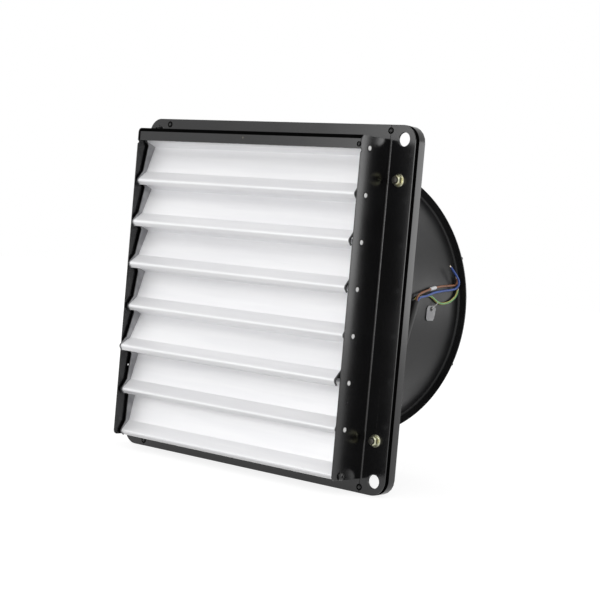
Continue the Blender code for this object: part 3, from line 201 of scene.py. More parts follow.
def round_about(angle):
    return np.stack([np.cos(angle), np.sin(angle)], -1)


def arc(centre, radius, start, end, steps):
    """Points at equal angles from start to end, in degrees, at one radius round a centre."""
    return np.asarray(centre) + radius * round_about(np.radians(np.linspace(start, end, steps + 1)))


def circle(x, y, radius, steps=48):
    return np.array((x, y)) + radius * round_about(turns(steps))


def rounded(points, radii, steps=8, closed=False):
    """A line whose corners are arcs that touch both neighbouring sides."""
    points = np.asarray(points, float)
    line = []
    for i, radius in enumerate(radii):
        corner = points[i]
        if radius == 0 or (not closed and i in (0, len(points) - 1)):
            line.append(corner[None])
            continue
        back, ahead = unit(points[i - 1] - corner), unit(points[(i + 1) % len(points)] - corner)
        half = np.arccos(np.clip(back @ ahead, -1, 1)) / 2
        centre = corner + unit(back + ahead) * radius / np.sin(half)
        start = corner + back * radius / np.tan(half) - centre
        end = corner + ahead * radius / np.tan(half) - centre
        first = np.arctan2(start[1], start[0])
        turn = (np.arctan2(end[1], end[0]) - first + np.pi) % TAU - np.pi
        line.append(centre + radius * round_about(first + turn * np.linspace(0, 1, steps + 1)))
    return np.concatenate(line)


def eased(profile, radius, steps=4):
    """A closed profile with all its corners rounded by one radius."""
    return rounded(profile, [radius] * len(profile), steps, closed=True)


def sheet_section(line, thickness, steps=5):
    """Closed section of a bent sheet: its middle line moved out by half the thickness to
    both sides along its normals, with a low half ellipse at each end."""
    line = np.array(line, float)
    along = headings(line)
    normal = np.stack([-along[:, 1], along[:, 0]], 1)
    half = thickness / 2
    ease = half * 0.4
    line[0] += ease * along[0]
    line[-1] -= ease * along[-1]
    angle = np.linspace(0, np.pi, steps + 2)[1:-1, None]
    last = line[-1] + half * np.cos(angle) * normal[-1] + ease * np.sin(angle) * along[-1]
    first = line[0] - half * np.cos(angle) * normal[0] - ease * np.sin(angle) * along[0]
    return np.concatenate([line + half * normal, last, (line - half * normal)[::-1], first])


def swept_x(section, low, high, steps=2):
    """A section in the YZ plane, repeated at even steps along X."""
    grid = np.empty((steps, len(section), 3))
    grid[..., 0] = np.linspace(low, high, steps)[:, None]
    grid[..., 1:] = section
    return grid


def spun(profile, steps=48, origin=(0, 0, 0), axes=UPRIGHT):
    """A profile of radius and height spun about Z: radius times cosine, radius times sine and
    the height. The turned shape is then carried to its place."""
    radius, height = np.array(profile, float).T[..., None]
    return placed(polar(radius, turns(steps), height), origin, axes)


def slab(outline, thickness, edge, steps=3):
    """A flat plate in XY: its outline, drawn in towards both faces over a quarter round."""
    outline = np.asarray(outline, float)
    before, after, least = np.roll(outline, 1, 0), np.roll(outline, -1, 0), 1e-12
    along = unit(unit(after - outline, least) + unit(outline - before, least), least)
    area = np.sum(outline[:, 0] * after[:, 1] - after[:, 0] * outline[:, 1])
    inward = np.stack([-along[:, 1], along[:, 0]], 1) * np.sign(area)
    angle = np.linspace(np.pi / 2, 0, steps + 1)
    inset = edge * (1 - np.cos(angle))
    rise = thickness / 2 - edge + edge * np.sin(angle)
    grid = np.empty((2 * len(angle), len(outline), 3))
    grid[..., :2] = outline + inward * np.concatenate([inset, inset[::-1]])[:, None, None]
    grid[..., 2] = np.concatenate([rise, -rise[::-1]])[:, None]
    return grid


def smooth_route(points, spacing):
    """Even points along the cubic curve whose slope at each point is half the step from the
    point before to the point after it."""
    points = np.asarray(points, float)
    ends = np.concatenate([[2 * points[0] - points[1]], points, [2 * points[-1] - points[-2]]])
    a, b, c, d = (p[:, None] for p in (ends[:-3], ends[1:-2], ends[2:-1], ends[3:]))
    t = (np.arange(20) / 20)[None, :, None]
    bend = (2 * a - 5 * b + 4 * c - d) * t**2
    twist = (3 * b - a - 3 * c + d) * t**3
    dense = ((2 * b + (c - a) * t + bend + twist) / 2).reshape(-1, 3)
    dense = np.concatenate([dense, points[-1:]])
    reach = np.concatenate([[0], np.cumsum(np.linalg.norm(np.diff(dense, axis=0), axis=1))])
    goal = np.linspace(0, reach[-1], max(3, int(round(reach[-1] / spacing))) + 1)
    return np.stack([np.interp(goal, reach, dense[:, k]) for k in range(3)], -1)


def tube(path, radius, across, steps=20):
    """Circles along a path, each in the plane across it. Their first radius points as near as
    it can to the direction given for each point."""
    along = headings(path)
    first = unit(across - np.sum(across * along, 1, keepdims=True) * along)
    angle = turns(steps)[None, :, None]
    ring = np.cos(angle) * first[:, None] + np.sin(angle) * np.cross(along, first)[:, None]
    return path[:, None] + np.broadcast_to(radius, len(path))[:, None, None] * ring


def domed_tube(path, radius, across, steps=20):
    """A tube whose ends close over a short quarter round."""
    turn = np.linspace(0, np.pi / 2, 5)[1:, None]
    ease = radius * 0.3
    head = path[0] + unit(path[0] - path[1]) * ease * np.sin(turn)
    tail = path[-1] + unit(path[-1] - path[-2]) * ease * np.sin(turn)
    widths = radius - ease * (1 - np.cos(turn[:, 0]))
    full = np.concatenate([head[::-1], path, tail])
    radii = np.concatenate([widths[::-1], np.full(len(path), radius), widths])
    return tube(full, radii, across, steps)


# Pieces

def cleaned(mesh, doubles, bend, flat=None):
    """Merge a mesh's doubles and, where flat is an angle, its flat neighbours. Turn its faces
    outwards and keep edges smooth where they bend by less than the given angle."""
    work = bmesh.new()
    work.from_mesh(mesh)
    bmesh.ops.remove_doubles(work, verts=work.verts, dist=doubles)
    if flat:
        bmesh.ops.dissolve_limit(
            work, angle_limit=np.radians(flat), verts=work.verts, edges=work.edges)
    bmesh.ops.recalc_face_normals(work, faces=work.faces)
    work.to_mesh(mesh)
    work.free()
    mesh.shade_smooth()
    mesh.set_sharp_from_angle(angle=np.radians(bend))


def dressed(made, look, node, body):
    """Give a piece its finish, its body and the solid that it stands for."""
    made.data.materials.clear()
    made.data.materials.append(LOOKS[look])
    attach(made, body)
    if node:
        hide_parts(node)
    return made


def piece(name, parts, look, node=None, body="housing", bend=35.0):
    """One mesh of several grids, as a named piece that rides on a body."""
    corners, faces, first = [], [], 0
    for points, part_faces in parts:
        corners.append(points)
        faces += [[i + first for i in face] for face in part_faces]
        first += len(points)
    mesh = bpy.data.meshes.new(name)
    mesh.from_pydata(np.concatenate(corners).tolist(), [], faces)
    cleaned(mesh, 1e-7, bend)
    made = linked(name, mesh)
    level = made.modifiers.new("flat faces", "WEIGHTED_NORMAL")
    level.weight = 90
    level.keep_sharp = True
    return dressed(made, look, node, body)


def softened_piece(node, look, width, slot=None, bend=40.0):
    """A merged copy of a solid whose sharp edges are rounded by a bevel."""
    source = frame["nodes"][node]
    mesh = source.data.copy()
    mesh.name = node + "_dressed"
    cleaned(mesh, 2e-6, bend, flat=0.5)
    made = linked(mesh.name, mesh)
    bevel = made.modifiers.new("rounded edges", "BEVEL")
    bevel.width, bevel.segments = width, 2
    bevel.limit_method, bevel.angle_limit = "ANGLE", np.radians(bend)
    bevel.use_clamp_overlap = bevel.harden_normals = True
    return dressed(made, look, node, source["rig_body"])


def plate_mesh(outlines, thickness, edge, origin, axes):
    """A flat plate with holes, filled between its outlines, with rounded edges."""
    curve = bpy.data.curves.new("plate", "CURVE")
    curve.dimensions = "2D"
    curve.fill_mode = "BOTH"
    curve.extrude = thickness / 2 - edge
    curve.bevel_depth, curve.bevel_resolution, curve.offset = edge, 2, -edge
    for outline in outlines:
        spline = curve.splines.new("POLY")
        spline.points.add(len(outline) - 1)
        spline.points.foreach_set("co", np.insert(outline, (2, 2), (0.0, 1.0), axis=1).ravel())
        spline.use_cyclic_u = True
    guide = linked("plate", curve)
    bpy.context.view_layer.update()
    graph = bpy.context.evaluated_depsgraph_get()
    mesh = bpy.data.meshes.new_from_object(guide.evaluated_get(graph))
    bpy.data.objects.remove(guide, do_unlink=True)
    corners = np.zeros(len(mesh.vertices) * 3)
    mesh.vertices.foreach_get("co", corners)
    return placed(corners.reshape(-1, 3), origin, axes), [list(p.vertices) for p in mesh.polygons]


# Shader nodes

def feed(tree, socket, value):
    """Link a socket to what another node puts out, or set it to a number or a colour."""
    if isinstance(value, bpy.types.NodeSocket):
        tree.links.new(value, socket)
    else:
        socket.default_value = (*value, 1.0) if socket.type == "RGBA" else value


def add(tree, kind, inputs=None, **settings):
    """A shader node with its settings made, and its inputs set or linked."""
    made = tree.nodes.new(kind)
    for name, value in settings.items():
        setattr(made, name, value)
    for name, value in (inputs or {}).items():
        feed(tree, made.inputs[name], value)
    return made


def maths(tree, operation, *values, clamp=False):
    made = add(tree, "ShaderNodeMath", operation=operation, use_clamp=clamp)
    for socket, value in zip(made.inputs, values):
        feed(tree, socket, value)
    return made.outputs[0]


def mixed(tree, mask, first, second):
    """The first colour where the mask is 0 and the second where it is 1."""
    return add(tree, "ShaderNodeMix", {0: mask, 6: first, 7: second}, data_type="RGBA").outputs[2]


def ramped(tree, value, low, high):
    """0 below low and 1 above high, smooth between them."""
    return add(tree, "ShaderNodeMapRange", {"Value": value, "From Min": low, "From Max": high},
               interpolation_type="SMOOTHSTEP").outputs["Result"]


def own_place(tree):
    return tree.nodes.new("ShaderNodeTexCoord").outputs["Object"]


def noise(tree, scale, detail=3.0, rough=0.5, stretch=None):
    """Noise on the piece's own place; stretch multiplies the place along each axis."""
    vector = own_place(tree)
    if stretch is not None:
        vector = add(tree, "ShaderNodeMapping", {"Vector": vector, "Scale": stretch}).outputs[0]
    return add(tree, "ShaderNodeTexNoise", {"Vector": vector, "Scale": scale, "Detail": detail,
                                            "Roughness": rough}).outputs["Fac"]


def masked(tree, first, second, amount):
    """Two masks times one another and an amount, held between 0 and 1."""
    both = maths(tree, "MULTIPLY", first, second)
    return maths(tree, "MULTIPLY", both, amount, clamp=True)


def mottle_effect(tree, entry):
    """Slow cloudy change of tone and gloss, as sprayed paint and drawn sheet have."""
    return {"Cloud": ramped(tree, noise(tree, entry["Size"], 2.0), 0.3, 0.7),
            "Speckle": ramped(tree, noise(tree, entry["Fine Size"], 2.0), 0.25, 0.75)}


def rolled_effect(tree, entry):
    """Fine lines that run along X, left by the mill's rolls on sheet metal."""
    broad = noise(tree, 90.0, 3.0, 0.5, stretch=(0.06, 1.0, 1.0))
    return {"Lines": noise(tree, entry["Line Size"], 4.0, 0.6, stretch=(0.02, 1.0, 1.0)),
            "Streaks": ramped(tree, broad, 0.35, 0.65)}


def dust_effect(tree, entry):
    """A mask of settled dust: more where a surface looks up, broken by fine noise."""
    normal = tree.nodes.new("ShaderNodeNewGeometry").outputs["Normal"]
    split = add(tree, "ShaderNodeSeparateXYZ", {"Vector": normal})
    grain = ramped(tree, noise(tree, entry["Grain Size"], 3.0, 0.7), 0.45, 0.62)
    broken = maths(tree, "MULTIPLY", grain, ramped(tree, noise(tree, 22.0, 3.0), 0.35, 0.65))
    lift = maths(tree, "MULTIPLY_ADD", ramped(tree, split.outputs["Z"], 0.1, 1.0), 0.8, 0.2)
    return {"Dust": masked(tree, broken, lift, entry["Amount"])}


def scratch_effect(tree, entry):
    """A mask of sparse hair scratches: thin bands of stretched noise near one value."""
    field = noise(tree, entry["Scratch Size"], 2.0, 0.4, stretch=(0.25, 1.0, 1.6))
    band = maths(tree, "ABSOLUTE", maths(tree, "SUBTRACT", field, 0.56))
    thin = maths(tree, "SUBTRACT", 1.0, ramped(tree, band, 0.0006, 0.002))
    where = ramped(tree, noise(tree, 14.0, 2.0), 0.5, 0.62)
    return {"Scratch": masked(tree, thin, where, entry["Amount"])}


def wear_effect(tree, entry):
    """A mask of worn edges: where the surface is sharply convex, broken by noise."""
    pointed = tree.nodes.new("ShaderNodeNewGeometry").outputs["Pointiness"]
    broken = ramped(tree, noise(tree, 500.0, 4.0, 0.7), 0.42, 0.66)
    return {"Wear": masked(tree, ramped(tree, pointed, 0.53, 0.62), broken, entry["Amount"])}


def effect(name, build, **inputs):
    """A shader node group with named inputs, and the outputs that its function returns."""
    tree = bpy.data.node_groups.new(name, "ShaderNodeTree")
    for label, value in inputs.items():
        tree.interface.new_socket(name=label.replace("_", " "), in_out="INPUT",
                                  socket_type="NodeSocketFloat").default_value = value
    results = build(tree, tree.nodes.new("NodeGroupInput").outputs)
    for label in results:
        tree.interface.new_socket(name=label, in_out="OUTPUT", socket_type="NodeSocketFloat")
    leave = tree.nodes.new("NodeGroupOutput")
    for label, value in results.items():
        tree.links.new(value, leave.inputs[label])
    return tree


EFFECTS = {
    "mottle": effect("cloudy tone", mottle_effect, Size=40.0, Fine_Size=600.0),
    "rolled": effect("rolled lines", rolled_effect, Line_Size=1400.0),
    "dust": effect("settled dust", dust_effect, Amount=0.2, Grain_Size=900.0),
    "scratch": effect("hair scratches", scratch_effect, Amount=0.3, Scratch_Size=60.0),
    "wear": effect("edge wear", wear_effect, Amount=0.3),
}


def use(tree, name, **inputs):
    made = tree.nodes.new("ShaderNodeGroup")
    made.node_tree = EFFECTS[name]
    for label, value in inputs.items():
        made.inputs[label.replace("_", " ")].default_value = value
    return made.outputs


def clouded(tree, size, fine_size):
    cloud = use(tree, "mottle", Size=size, Fine_Size=fine_size)
    return cloud["Cloud"], cloud["Speckle"]


def masks(tree, **amounts):
    """The mask of each named effect, at its amount."""
    return [use(tree, name, Amount=amount)[0] for name, amount in amounts.items()]


def share(tree, mask, amount):
    return maths(tree, "MULTIPLY", mask, amount)


# Finishes

def blank(name):
    material = bpy.data.materials.new(name)
    material.use_nodes = True
    return material, material.node_tree


def finished(material, tones, glosses, height, depth, strength=1.0, metallic=0.0, shine=0.5):
    """Tones are a colour, then pairs of a mask and the colour it lays over the ones before.
    Glosses are a roughness, then pairs of a mask and what it adds. The height is a bump."""
    tree = material.node_tree
    shader = tree.nodes["Principled BSDF"]
    tone, *layers = tones
    for mask, colour in layers:
        tone = mixed(tree, mask, tone, colour)
    gloss, *layers = glosses
    for mask, amount in layers:
        gloss = maths(tree, "MULTIPLY_ADD", mask, amount, gloss)
    bump = add(tree, "ShaderNodeBump", {"Height": height, "Distance": depth, "Strength": strength})
    tree.links.new(tone, shader.inputs["Base Color"])
    tree.links.new(gloss, shader.inputs["Roughness"])
    tree.links.new(bump.outputs["Normal"], shader.inputs["Normal"])
    shader.inputs["Metallic"].default_value = metallic
    shader.inputs["Specular IOR Level"].default_value = shine
    return material


def scaled(colour, times, plus=0.0):
    return tuple(min(1.0, c * times + plus) for c in colour)


def paint(name, colour, pale, rough, spread=0.08, peel=0.00002, peel_size=420.0, dust=0.25,
          wear=0.5, scratch=0.3, shine=0.5):
    """A coat with a cloudy tone, orange peel, settled dust, hair scratches and worn edges."""
    material, tree = blank(name)
    cloud, speckle = clouded(tree, 30.0, peel_size)
    dusty, worn, hair = masks(tree, dust=dust, wear=wear, scratch=scratch)
    return finished(
        material,
        [colour, (cloud, pale), (dusty, (0.30, 0.29, 0.27)), (hair, scaled(colour, 4, 0.05)),
         (worn, (0.30, 0.29, 0.28))],
        [rough, (cloud, spread), (dusty, 0.5), (worn, 0.1)], speckle, peel, shine=shine)


def rolled_metal(name, colour, streak, rough, spread, dust, scratch, metallic):
    """Bare sheet with the mill's lines along X, faint streaks, dust and hair scratches."""
    material, tree = blank(name)
    lines, streaks = use(tree, "rolled", Line_Size=1400.0)
    cloud, _ = clouded(tree, 12.0, 900.0)
    dusty, hair = masks(tree, dust=dust, scratch=scratch)
    return finished(
        material,
        [colour, (streaks, streak), (dusty, (0.55, 0.54, 0.52)), (hair, scaled(colour, 0.75))],
        [rough, (lines, spread), (cloud, 0.05)], lines, 0.000001, metallic=metallic)


def plated(name, colour, tint, rough, dust=0.05):
    """Plated steel: a slow shift between two tints, fine pitting and dull worn edges."""
    material, tree = blank(name)
    cloud, speckle = clouded(tree, 160.0, 1500.0)
    worn, dusty = masks(tree, wear=0.4, dust=dust)
    return finished(
        material,
        [colour, (cloud, tint), (worn, (0.66, 0.65, 0.63)), (dusty, (0.40, 0.38, 0.35))],
        [rough, (speckle, 0.15)], speckle, 0.000006, 0.8, metallic=1.0)


def moulded(name, colour, pale, rough, grain=0.00001, grain_size=1800.0, dust=0.15, wear=0.25,
            worn_colour=None):
    """Moulded plastic or rubber with a fine spark grain, dust and rubbed edges."""
    material, tree = blank(name)
    cloud, speckle = clouded(tree, 70.0, grain_size)
    dusty, worn = masks(tree, dust=dust, wear=wear)
    return finished(
        material,
        [colour, (cloud, pale), (dusty, (0.34, 0.33, 0.31)),
         (worn, worn_colour or scaled(colour, 2.5, 0.03))],
        [rough, (speckle, 0.12)], speckle, grain, 0.8)


def striped_insulation():
    """Yellow insulation with two green stripes that run along the wire."""
    material, tree = blank("earth insulation")
    around = add(tree, "ShaderNodeAttribute", attribute_name="around").outputs["Vector"]
    split = add(tree, "ShaderNodeSeparateXYZ", {"Vector": around})
    stripe = ramped(tree, maths(tree, "ABSOLUTE", split.outputs["X"]), 0.72, 0.80)
    fine = noise(tree, 1500.0, 2.0)
    return finished(
        material,
        [(0.84, 0.72, 0.20), (stripe, (0.10, 0.40, 0.13)),
         (share(tree, fine, 0.15), (0.5, 0.5, 0.4))],
        [0.32, (fine, 0.15)], fine, 0.000006, 0.6)


def waved(tree, value):
    """A sine of the value, from 0 to 1."""
    return maths(tree, "MULTIPLY_ADD", maths(tree, "SINE", value), 0.5, 0.5)


def wound_copper():
    """Lacquered turns of copper wire: fine ridges that run round the stator, by a wave whose
    turn grows with the reach from the axis and with Y. The same wave paints the grooves between
    turns dark and their crests bright, as painted shade and painted highlight."""
    material, tree = blank("wound copper")
    per_metre = 7000.0
    x, y, z = add(tree, "ShaderNodeSeparateXYZ", {"Vector": own_place(tree)}).outputs
    reach = maths(tree, "SQRT", maths(
        tree, "ADD", maths(tree, "MULTIPLY", x, x), maths(tree, "MULTIPLY", z, z)))
    wander = noise(tree, 60.0, 2.0)
    turn = maths(tree, "MULTIPLY_ADD", reach, per_metre, share(tree, wander, 9.0))
    ridge = waved(tree, maths(tree, "MULTIPLY_ADD", y, per_metre, turn))
    # The colour follows the wave: painted shade in the grooves between turns, painted highlight on
    # their crests
    return finished(material, [(0.30, 0.10, 0.04), (ridge, (0.72, 0.32, 0.14))],
                    [0.28, (wander, 0.2)], ridge, 0.00012, 0.9, metallic=1.0)


def stacked_core():
    """Core sheets stacked along Y with a little rust bloom: a wave that comes round once in
    half a millimetre."""
    material, tree = blank("stacked core")
    per_metre = 12566.0
    split = add(tree, "ShaderNodeSeparateXYZ", {"Vector": own_place(tree)})
    layer = waved(tree, share(tree, split.outputs["Y"], per_metre))
    bloom = ramped(tree, noise(tree, 90.0, 4.0), 0.55, 0.75)
    return finished(
        material,
        [(0.20, 0.20, 0.21), (layer, (0.38, 0.38, 0.39)),
         (share(tree, bloom, 0.5), (0.22, 0.11, 0.06))],
        [0.40, (bloom, 0.25)], layer, 0.00006, 0.8, metallic=1.0)


def turned_steel():
    """Turned steel: fine rings left by the lathe, and a bright polish."""
    material, tree = blank("turned steel")
    rings = noise(tree, 900.0, 3.0, 0.6, stretch=(0.05, 2.0, 0.05))
    cloud, _ = clouded(tree, 60.0, 1200.0)
    dusty, = masks(tree, dust=0.10)
    return finished(
        material, [(0.58, 0.58, 0.60), (cloud, (0.48, 0.48, 0.50)), (dusty, (0.36, 0.34, 0.32))],
        [0.16, (rings, 0.22)], rings, 0.000008, 0.8, metallic=1.0)


def card():
    """Grey card: soft fibres and slightly paler blots."""
    material, tree = blank("grey card")
    fibre = noise(tree, 700.0, 5.0, 0.7, stretch=(1.0, 0.35, 1.4))
    blot = ramped(tree, noise(tree, 120.0, 3.0), 0.5, 0.7)
    return finished(
        material,
        [(0.30, 0.30, 0.31), (fibre, (0.46, 0.46, 0.47)),
         (share(tree, blot, 0.35), (0.62, 0.62, 0.61))],
        [0.6, (fibre, 0.2)], fibre, 0.00003, 0.7)


LOOKS = {
    "frame paint": paint("black frame paint", (0.0020, 0.0020, 0.0024), (0.0036, 0.0036, 0.0042),
                         0.19, spread=0.03, peel=0.0000005, peel_size=260.0, dust=0.02, wear=0.12,
                         scratch=0.08, shine=0.55),
    # Painted shade: matte black with no sheen, for creases, seams and grooves whose dark look is
    # shade and reflection
    "shade paint": paint("black painted shade", (0.0015,) * 3, (0.003,) * 3, 0.60, peel=0.000001,
                        peel_size=300.0, dust=0.0, wear=0.0, scratch=0.0, shine=0.0),
    "drum paint": paint("black drum paint", (0.008, 0.008, 0.0085), (0.012, 0.012, 0.0125), 0.34,
                        peel=0.000004, peel_size=300.0, dust=0.05, wear=0.2, scratch=0.15,
                        shine=0.3),
    "part paint": paint("black part paint", (0.014,) * 3, (0.022,) * 3, 0.36, dust=0.30),
    "screw black": paint("black screw coat", (0.012,) * 3, (0.02,) * 3, 0.28, peel=0.00001,
                         peel_size=1400.0, dust=0.1, wear=0.8, scratch=0.2),
    "motor paint": paint("dark grey motor paint", (0.075, 0.075, 0.08), (0.11, 0.11, 0.115), 0.45,
                         peel=0.00004, peel_size=900.0, dust=0.35),
    "aluminium": rolled_metal("satin aluminium", (0.89, 0.89, 0.905), (0.93, 0.93, 0.94), 0.34,
                              0.10, dust=0.03, scratch=0.12, metallic=0.22),
    # Painted shade: the louvres' aluminium made dark grey for the turned-up ends, which look grey
    # beside the black caps
    "fold metal in painted shade": rolled_metal("folded aluminium in painted shade", (0.26, 0.26, 0.27), (0.36, 0.36, 0.37),
                               0.34, 0.10, dust=0.05, scratch=0.2, metallic=0.35),
    "zinc": plated("pale yellow zinc", (0.40, 0.37, 0.23), (0.55, 0.56, 0.42), 0.18),
    "dark bolt": plated("dark bolt steel", (0.07, 0.065, 0.06), (0.12, 0.115, 0.10), 0.34),
    "steel": turned_steel(),
    "core": stacked_core(),
    "copper": wound_copper(),
    "cap plastic": moulded("black cap plastic", (0.020, 0.020, 0.021), (0.030, 0.030, 0.031),
                           0.40, worn_colour=(0.10, 0.10, 0.10)),
    "pin nylon": moulded("white pin nylon", (0.93, 0.93, 0.92), (0.95, 0.95, 0.94), 0.42,
                         dust=0.02, wear=0.1, worn_colour=(0.9, 0.9, 0.88)),
    "sheath": moulded("black cable sheath", (0.012,) * 3, (0.020,) * 3, 0.40, dust=0.10, wear=0.1),
    "rubber": moulded("black rubber", (0.014,) * 3, (0.024,) * 3, 0.55, grain=0.00002, dust=0.25,
                      wear=0.1),
    "brown": moulded("brown insulation", (0.24, 0.085, 0.03), (0.30, 0.11, 0.045), 0.34,
                     dust=0.05, wear=0.0),
    "blue": moulded("blue insulation", (0.025, 0.075, 0.33), (0.035, 0.10, 0.40), 0.30, dust=0.05,
                    wear=0.0),
    "earth": striped_insulation(),
    "card": card(),
    "thread": moulded("pale thread", (0.70, 0.69, 0.66), (0.80, 0.79, 0.76), 0.7, grain=0.00003,
                      grain_size=2600.0, dust=0.0, wear=0.0),
    "tie nylon": moulded("white tie nylon", (0.75, 0.76, 0.78), (0.82, 0.83, 0.84), 0.35, dust=0.0,
                         wear=0.0),
    "strand": plated("tinned strand", (0.70, 0.66, 0.58), (0.74, 0.60, 0.46), 0.22, 0.0),
}


# Cords: each row of a route is an angle about the drum, a radius and a depth

ROUTES = {
    "supply_cable": (
        (-71.25, 0.1580, 0.1080), (-71.25, 0.1680, 0.1080), (-71.25, 0.1785, 0.1080),
        (-69.99, 0.1933, 0.1068), (-67.05, 0.2072, 0.1041), (-63.14, 0.2159, 0.0995),
        (-58.87, 0.2178, 0.0932), (-54.69, 0.2121, 0.0865), (-50.89, 0.1992, 0.0811),
        (-47.73, 0.1806, 0.0766), (-44.63, 0.1698, 0.0738), (-40.23, 0.1626, 0.0707),
        (-32.9, 0.1607, 0.0651), (-26.2, 0.1602, 0.0600), (-22.0, 0.1602, 0.0568),
        (-17.4, 0.1602, 0.0548), (-12.7, 0.1602, 0.0538), (-8.0, 0.1602, 0.0545),
        (-3.8, 0.1601, 0.0573), (0.0, 0.1600, 0.0608), (2.0, 0.1598, 0.0629),
        (3.6, 0.1598, 0.0647),
    ),
    "brown_wire": (
        (4.05, 0.1607, 0.0638), (4.95, 0.1608, 0.0647), (6.1, 0.1604, 0.0680),
        (7.15, 0.1598, 0.0752), (8.1, 0.1592, 0.0850), (8.9, 0.1590, 0.0940),
        (9.5, 0.1590, 0.1020), (10.0, 0.1590, 0.1100), (10.45, 0.1590, 0.1230),
        (10.75, 0.1590, 0.1340), (10.95, 0.1590, 0.1405), (11.3, 0.1590, 0.1438),
        (11.95, 0.1590, 0.1458), (12.9, 0.1590, 0.1465), (13.9, 0.1590, 0.1457),
    ),
    "blue_wire": (
        (3.64, 0.1607, 0.0666), (4.5, 0.1608, 0.0673), (5.2, 0.1608, 0.0704),
        (5.6, 0.1608, 0.0754), (6.0, 0.1608, 0.0825), (6.7, 0.1606, 0.0905),
        (7.4, 0.1604, 0.0980), (8.0, 0.1598, 0.1090), (8.55, 0.1594, 0.1220),
        (8.95, 0.1597, 0.1330), (9.6, 0.1608, 0.1402), (11.0, 0.1622, 0.1444),
        (12.9, 0.1630, 0.1440), (14.8, 0.1630, 0.1404), (16.5, 0.1626, 0.1368),
        (18.2, 0.1622, 0.1332),
    ),
    "earth_wire": (
        (3.82, 0.1581, 0.0653), (4.65, 0.1579, 0.0660), (5.25, 0.1575, 0.0692),
        (5.5, 0.1572, 0.0745), (5.8, 0.1572, 0.0820), (6.2, 0.1572, 0.0895),
        (6.1, 0.1572, 0.0950), (5.3, 0.1574, 0.1003), (4.2, 0.1576, 0.1055),
        (3.4, 0.1576, 0.1120), (3.2, 0.1578, 0.1200), (4.0, 0.1580, 0.1310),
        (5.7, 0.1582, 0.1405), (7.4, 0.1584, 0.1450), (8.9, 0.1586, 0.1470),
    ),
    "motor_lead": (
        (-71.25, 0.0523, 0.1080), (-71.25, 0.0600, 0.1080), (-70.0, 0.0760, 0.1086),
        (-69.2, 0.0950, 0.1094), (-69.4, 0.1140, 0.1094), (-70.2, 0.1320, 0.1086),
        (-71.25, 0.1480, 0.1080), (-71.25, 0.1572, 0.1080),
    ),
}


def route(name, spacing=0.0015):
    """The cord's middle line, with its rings close to the given spacing."""
    degrees, radius, y = np.array(ROUTES[name]).T
    angle = np.radians(degrees)
    return smooth_route(np.stack([radius * np.cos(angle), y, radius * np.sin(angle)], -1), spacing)


def outward(path):
    """The direction away from the drum's axis at each point."""
    return unit(path * (1.0, 0.0, 1.0))


def cord_piece(name, radius, look, path, across, steps):
    """A round cord: circles carried along its route. It keeps the cosine and sine of the turn
    round it, for stripes along it."""
    made = piece(name + "_cord", [capped(tube(path, radius, across, steps))], look, name)
    count = len(made.data.vertices)
    turn = (np.arange(count) % steps) * TAU / steps
    values = np.stack([np.cos(turn), np.sin(turn), np.arange(count) / count], -1)
    mark = made.data.attributes.new("around", "FLOAT_VECTOR", "POINT")
    mark.data.foreach_set("vector", values.ravel().astype(np.float32))
    return made, float(np.sum(np.linalg.norm(np.diff(path, axis=0), axis=1)))


def strand_end(name, path):
    """The stripped end: a short bundle of fine strands, twisted a little, as one ribbed rod
    whose radius waves by a cosine round it that turns along its length."""
    steps, rings, inside, length, radius = 42, 14, 0.0015, 0.0040, 0.00072
    ribs, rib_depth, twist, tip = 7, 0.10, 2.4, 0.55
    way = unit(path[-1] - path[-3])
    line = path[-1] - way * inside + way * np.linspace(0, length, rings)[:, None]
    waves = np.cos(ribs * turns(steps) - np.linspace(0, twist, rings)[:, None])
    size = radius * (1 + rib_depth * waves)
    size[-1] *= tip
    centre = line[:, None]
    grid = centre + (tube(line, 1.0, outward(line), steps) - centre) * size[..., None]
    return piece(name + "_end", [capped(grid)], "strand", bend=60.0)


def crimp_sleeve(path):
    """A pale sleeve shrunk over the brown wire: its radius tapers at both ends and pinches at
    two bands, by a pair of narrow bell curves."""
    front, back, radius, taper, pinch = 0.0925, 0.1035, 0.00205, 0.00035, 0.00028
    keep = path[(path[:, 1] > front) & (path[:, 1] < back)]
    place = np.linspace(-1, 1, len(keep))
    width, middles = 0.12, (-0.45, 0.45)
    bands = sum(np.exp(-((place + middle) / width)**2) for middle in middles)
    outer = tube(keep, radius - taper * place**8 - pinch * bands, outward(keep))
    inner = tube(keep, WIRE_RADIUS * 0.96, outward(keep))
    return piece("crimp_sleeve", [looped(np.concatenate([outer, inner[::-1]]))], "tie nylon",
                 bend=60.0)


def tag_thread():
    """A twisted thread from the earth wire down to the tag's hole: two strands of a tube, half
    a turn apart, wound round the thread's path."""
    path = smooth_route([(0.15975, 0.1062, 0.0104), (0.15985, 0.1052, 0.0090),
                         (0.1588, 0.1032, 0.0066), (0.1578, 0.1010, 0.0043),
                         (0.1572, 0.0994, 0.0030), (0.1570, 0.0988, 0.0022)], 0.0004)
    apart, radius, wound = 0.00028, 0.00030, 9 * np.pi
    side = outward(path)
    other = np.cross(headings(path), side)
    turn = np.linspace(0, wound, len(path))[:, None]
    parts = []
    for start in (0.0, np.pi):
        strand = path + apart * (np.cos(turn + start) * side + np.sin(turn + start) * other)
        parts.append(capped(domed_tube(strand, radius, side[0], 8)))
    return piece("tag_thread", parts, "thread")


def tag_eyelet():
    """A pressed ring round the tag's hole: a small half-round profile spun about X."""
    hole, rim, back, proud = 0.0017, 0.0028, -0.00015, 0.00022
    profile = rounded([(hole, back), (rim, back), (rim, proud), (hole, proud)],
                      [0.0001, 0.0001, 0.00016, 0.00016], 3, closed=True)
    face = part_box("cable_tag")[1][0]
    return piece("tag_eyelet", [looped(spun(profile, 32, (face, 0.0990, 0.0022), ALONG_X))],
                 "screw black")


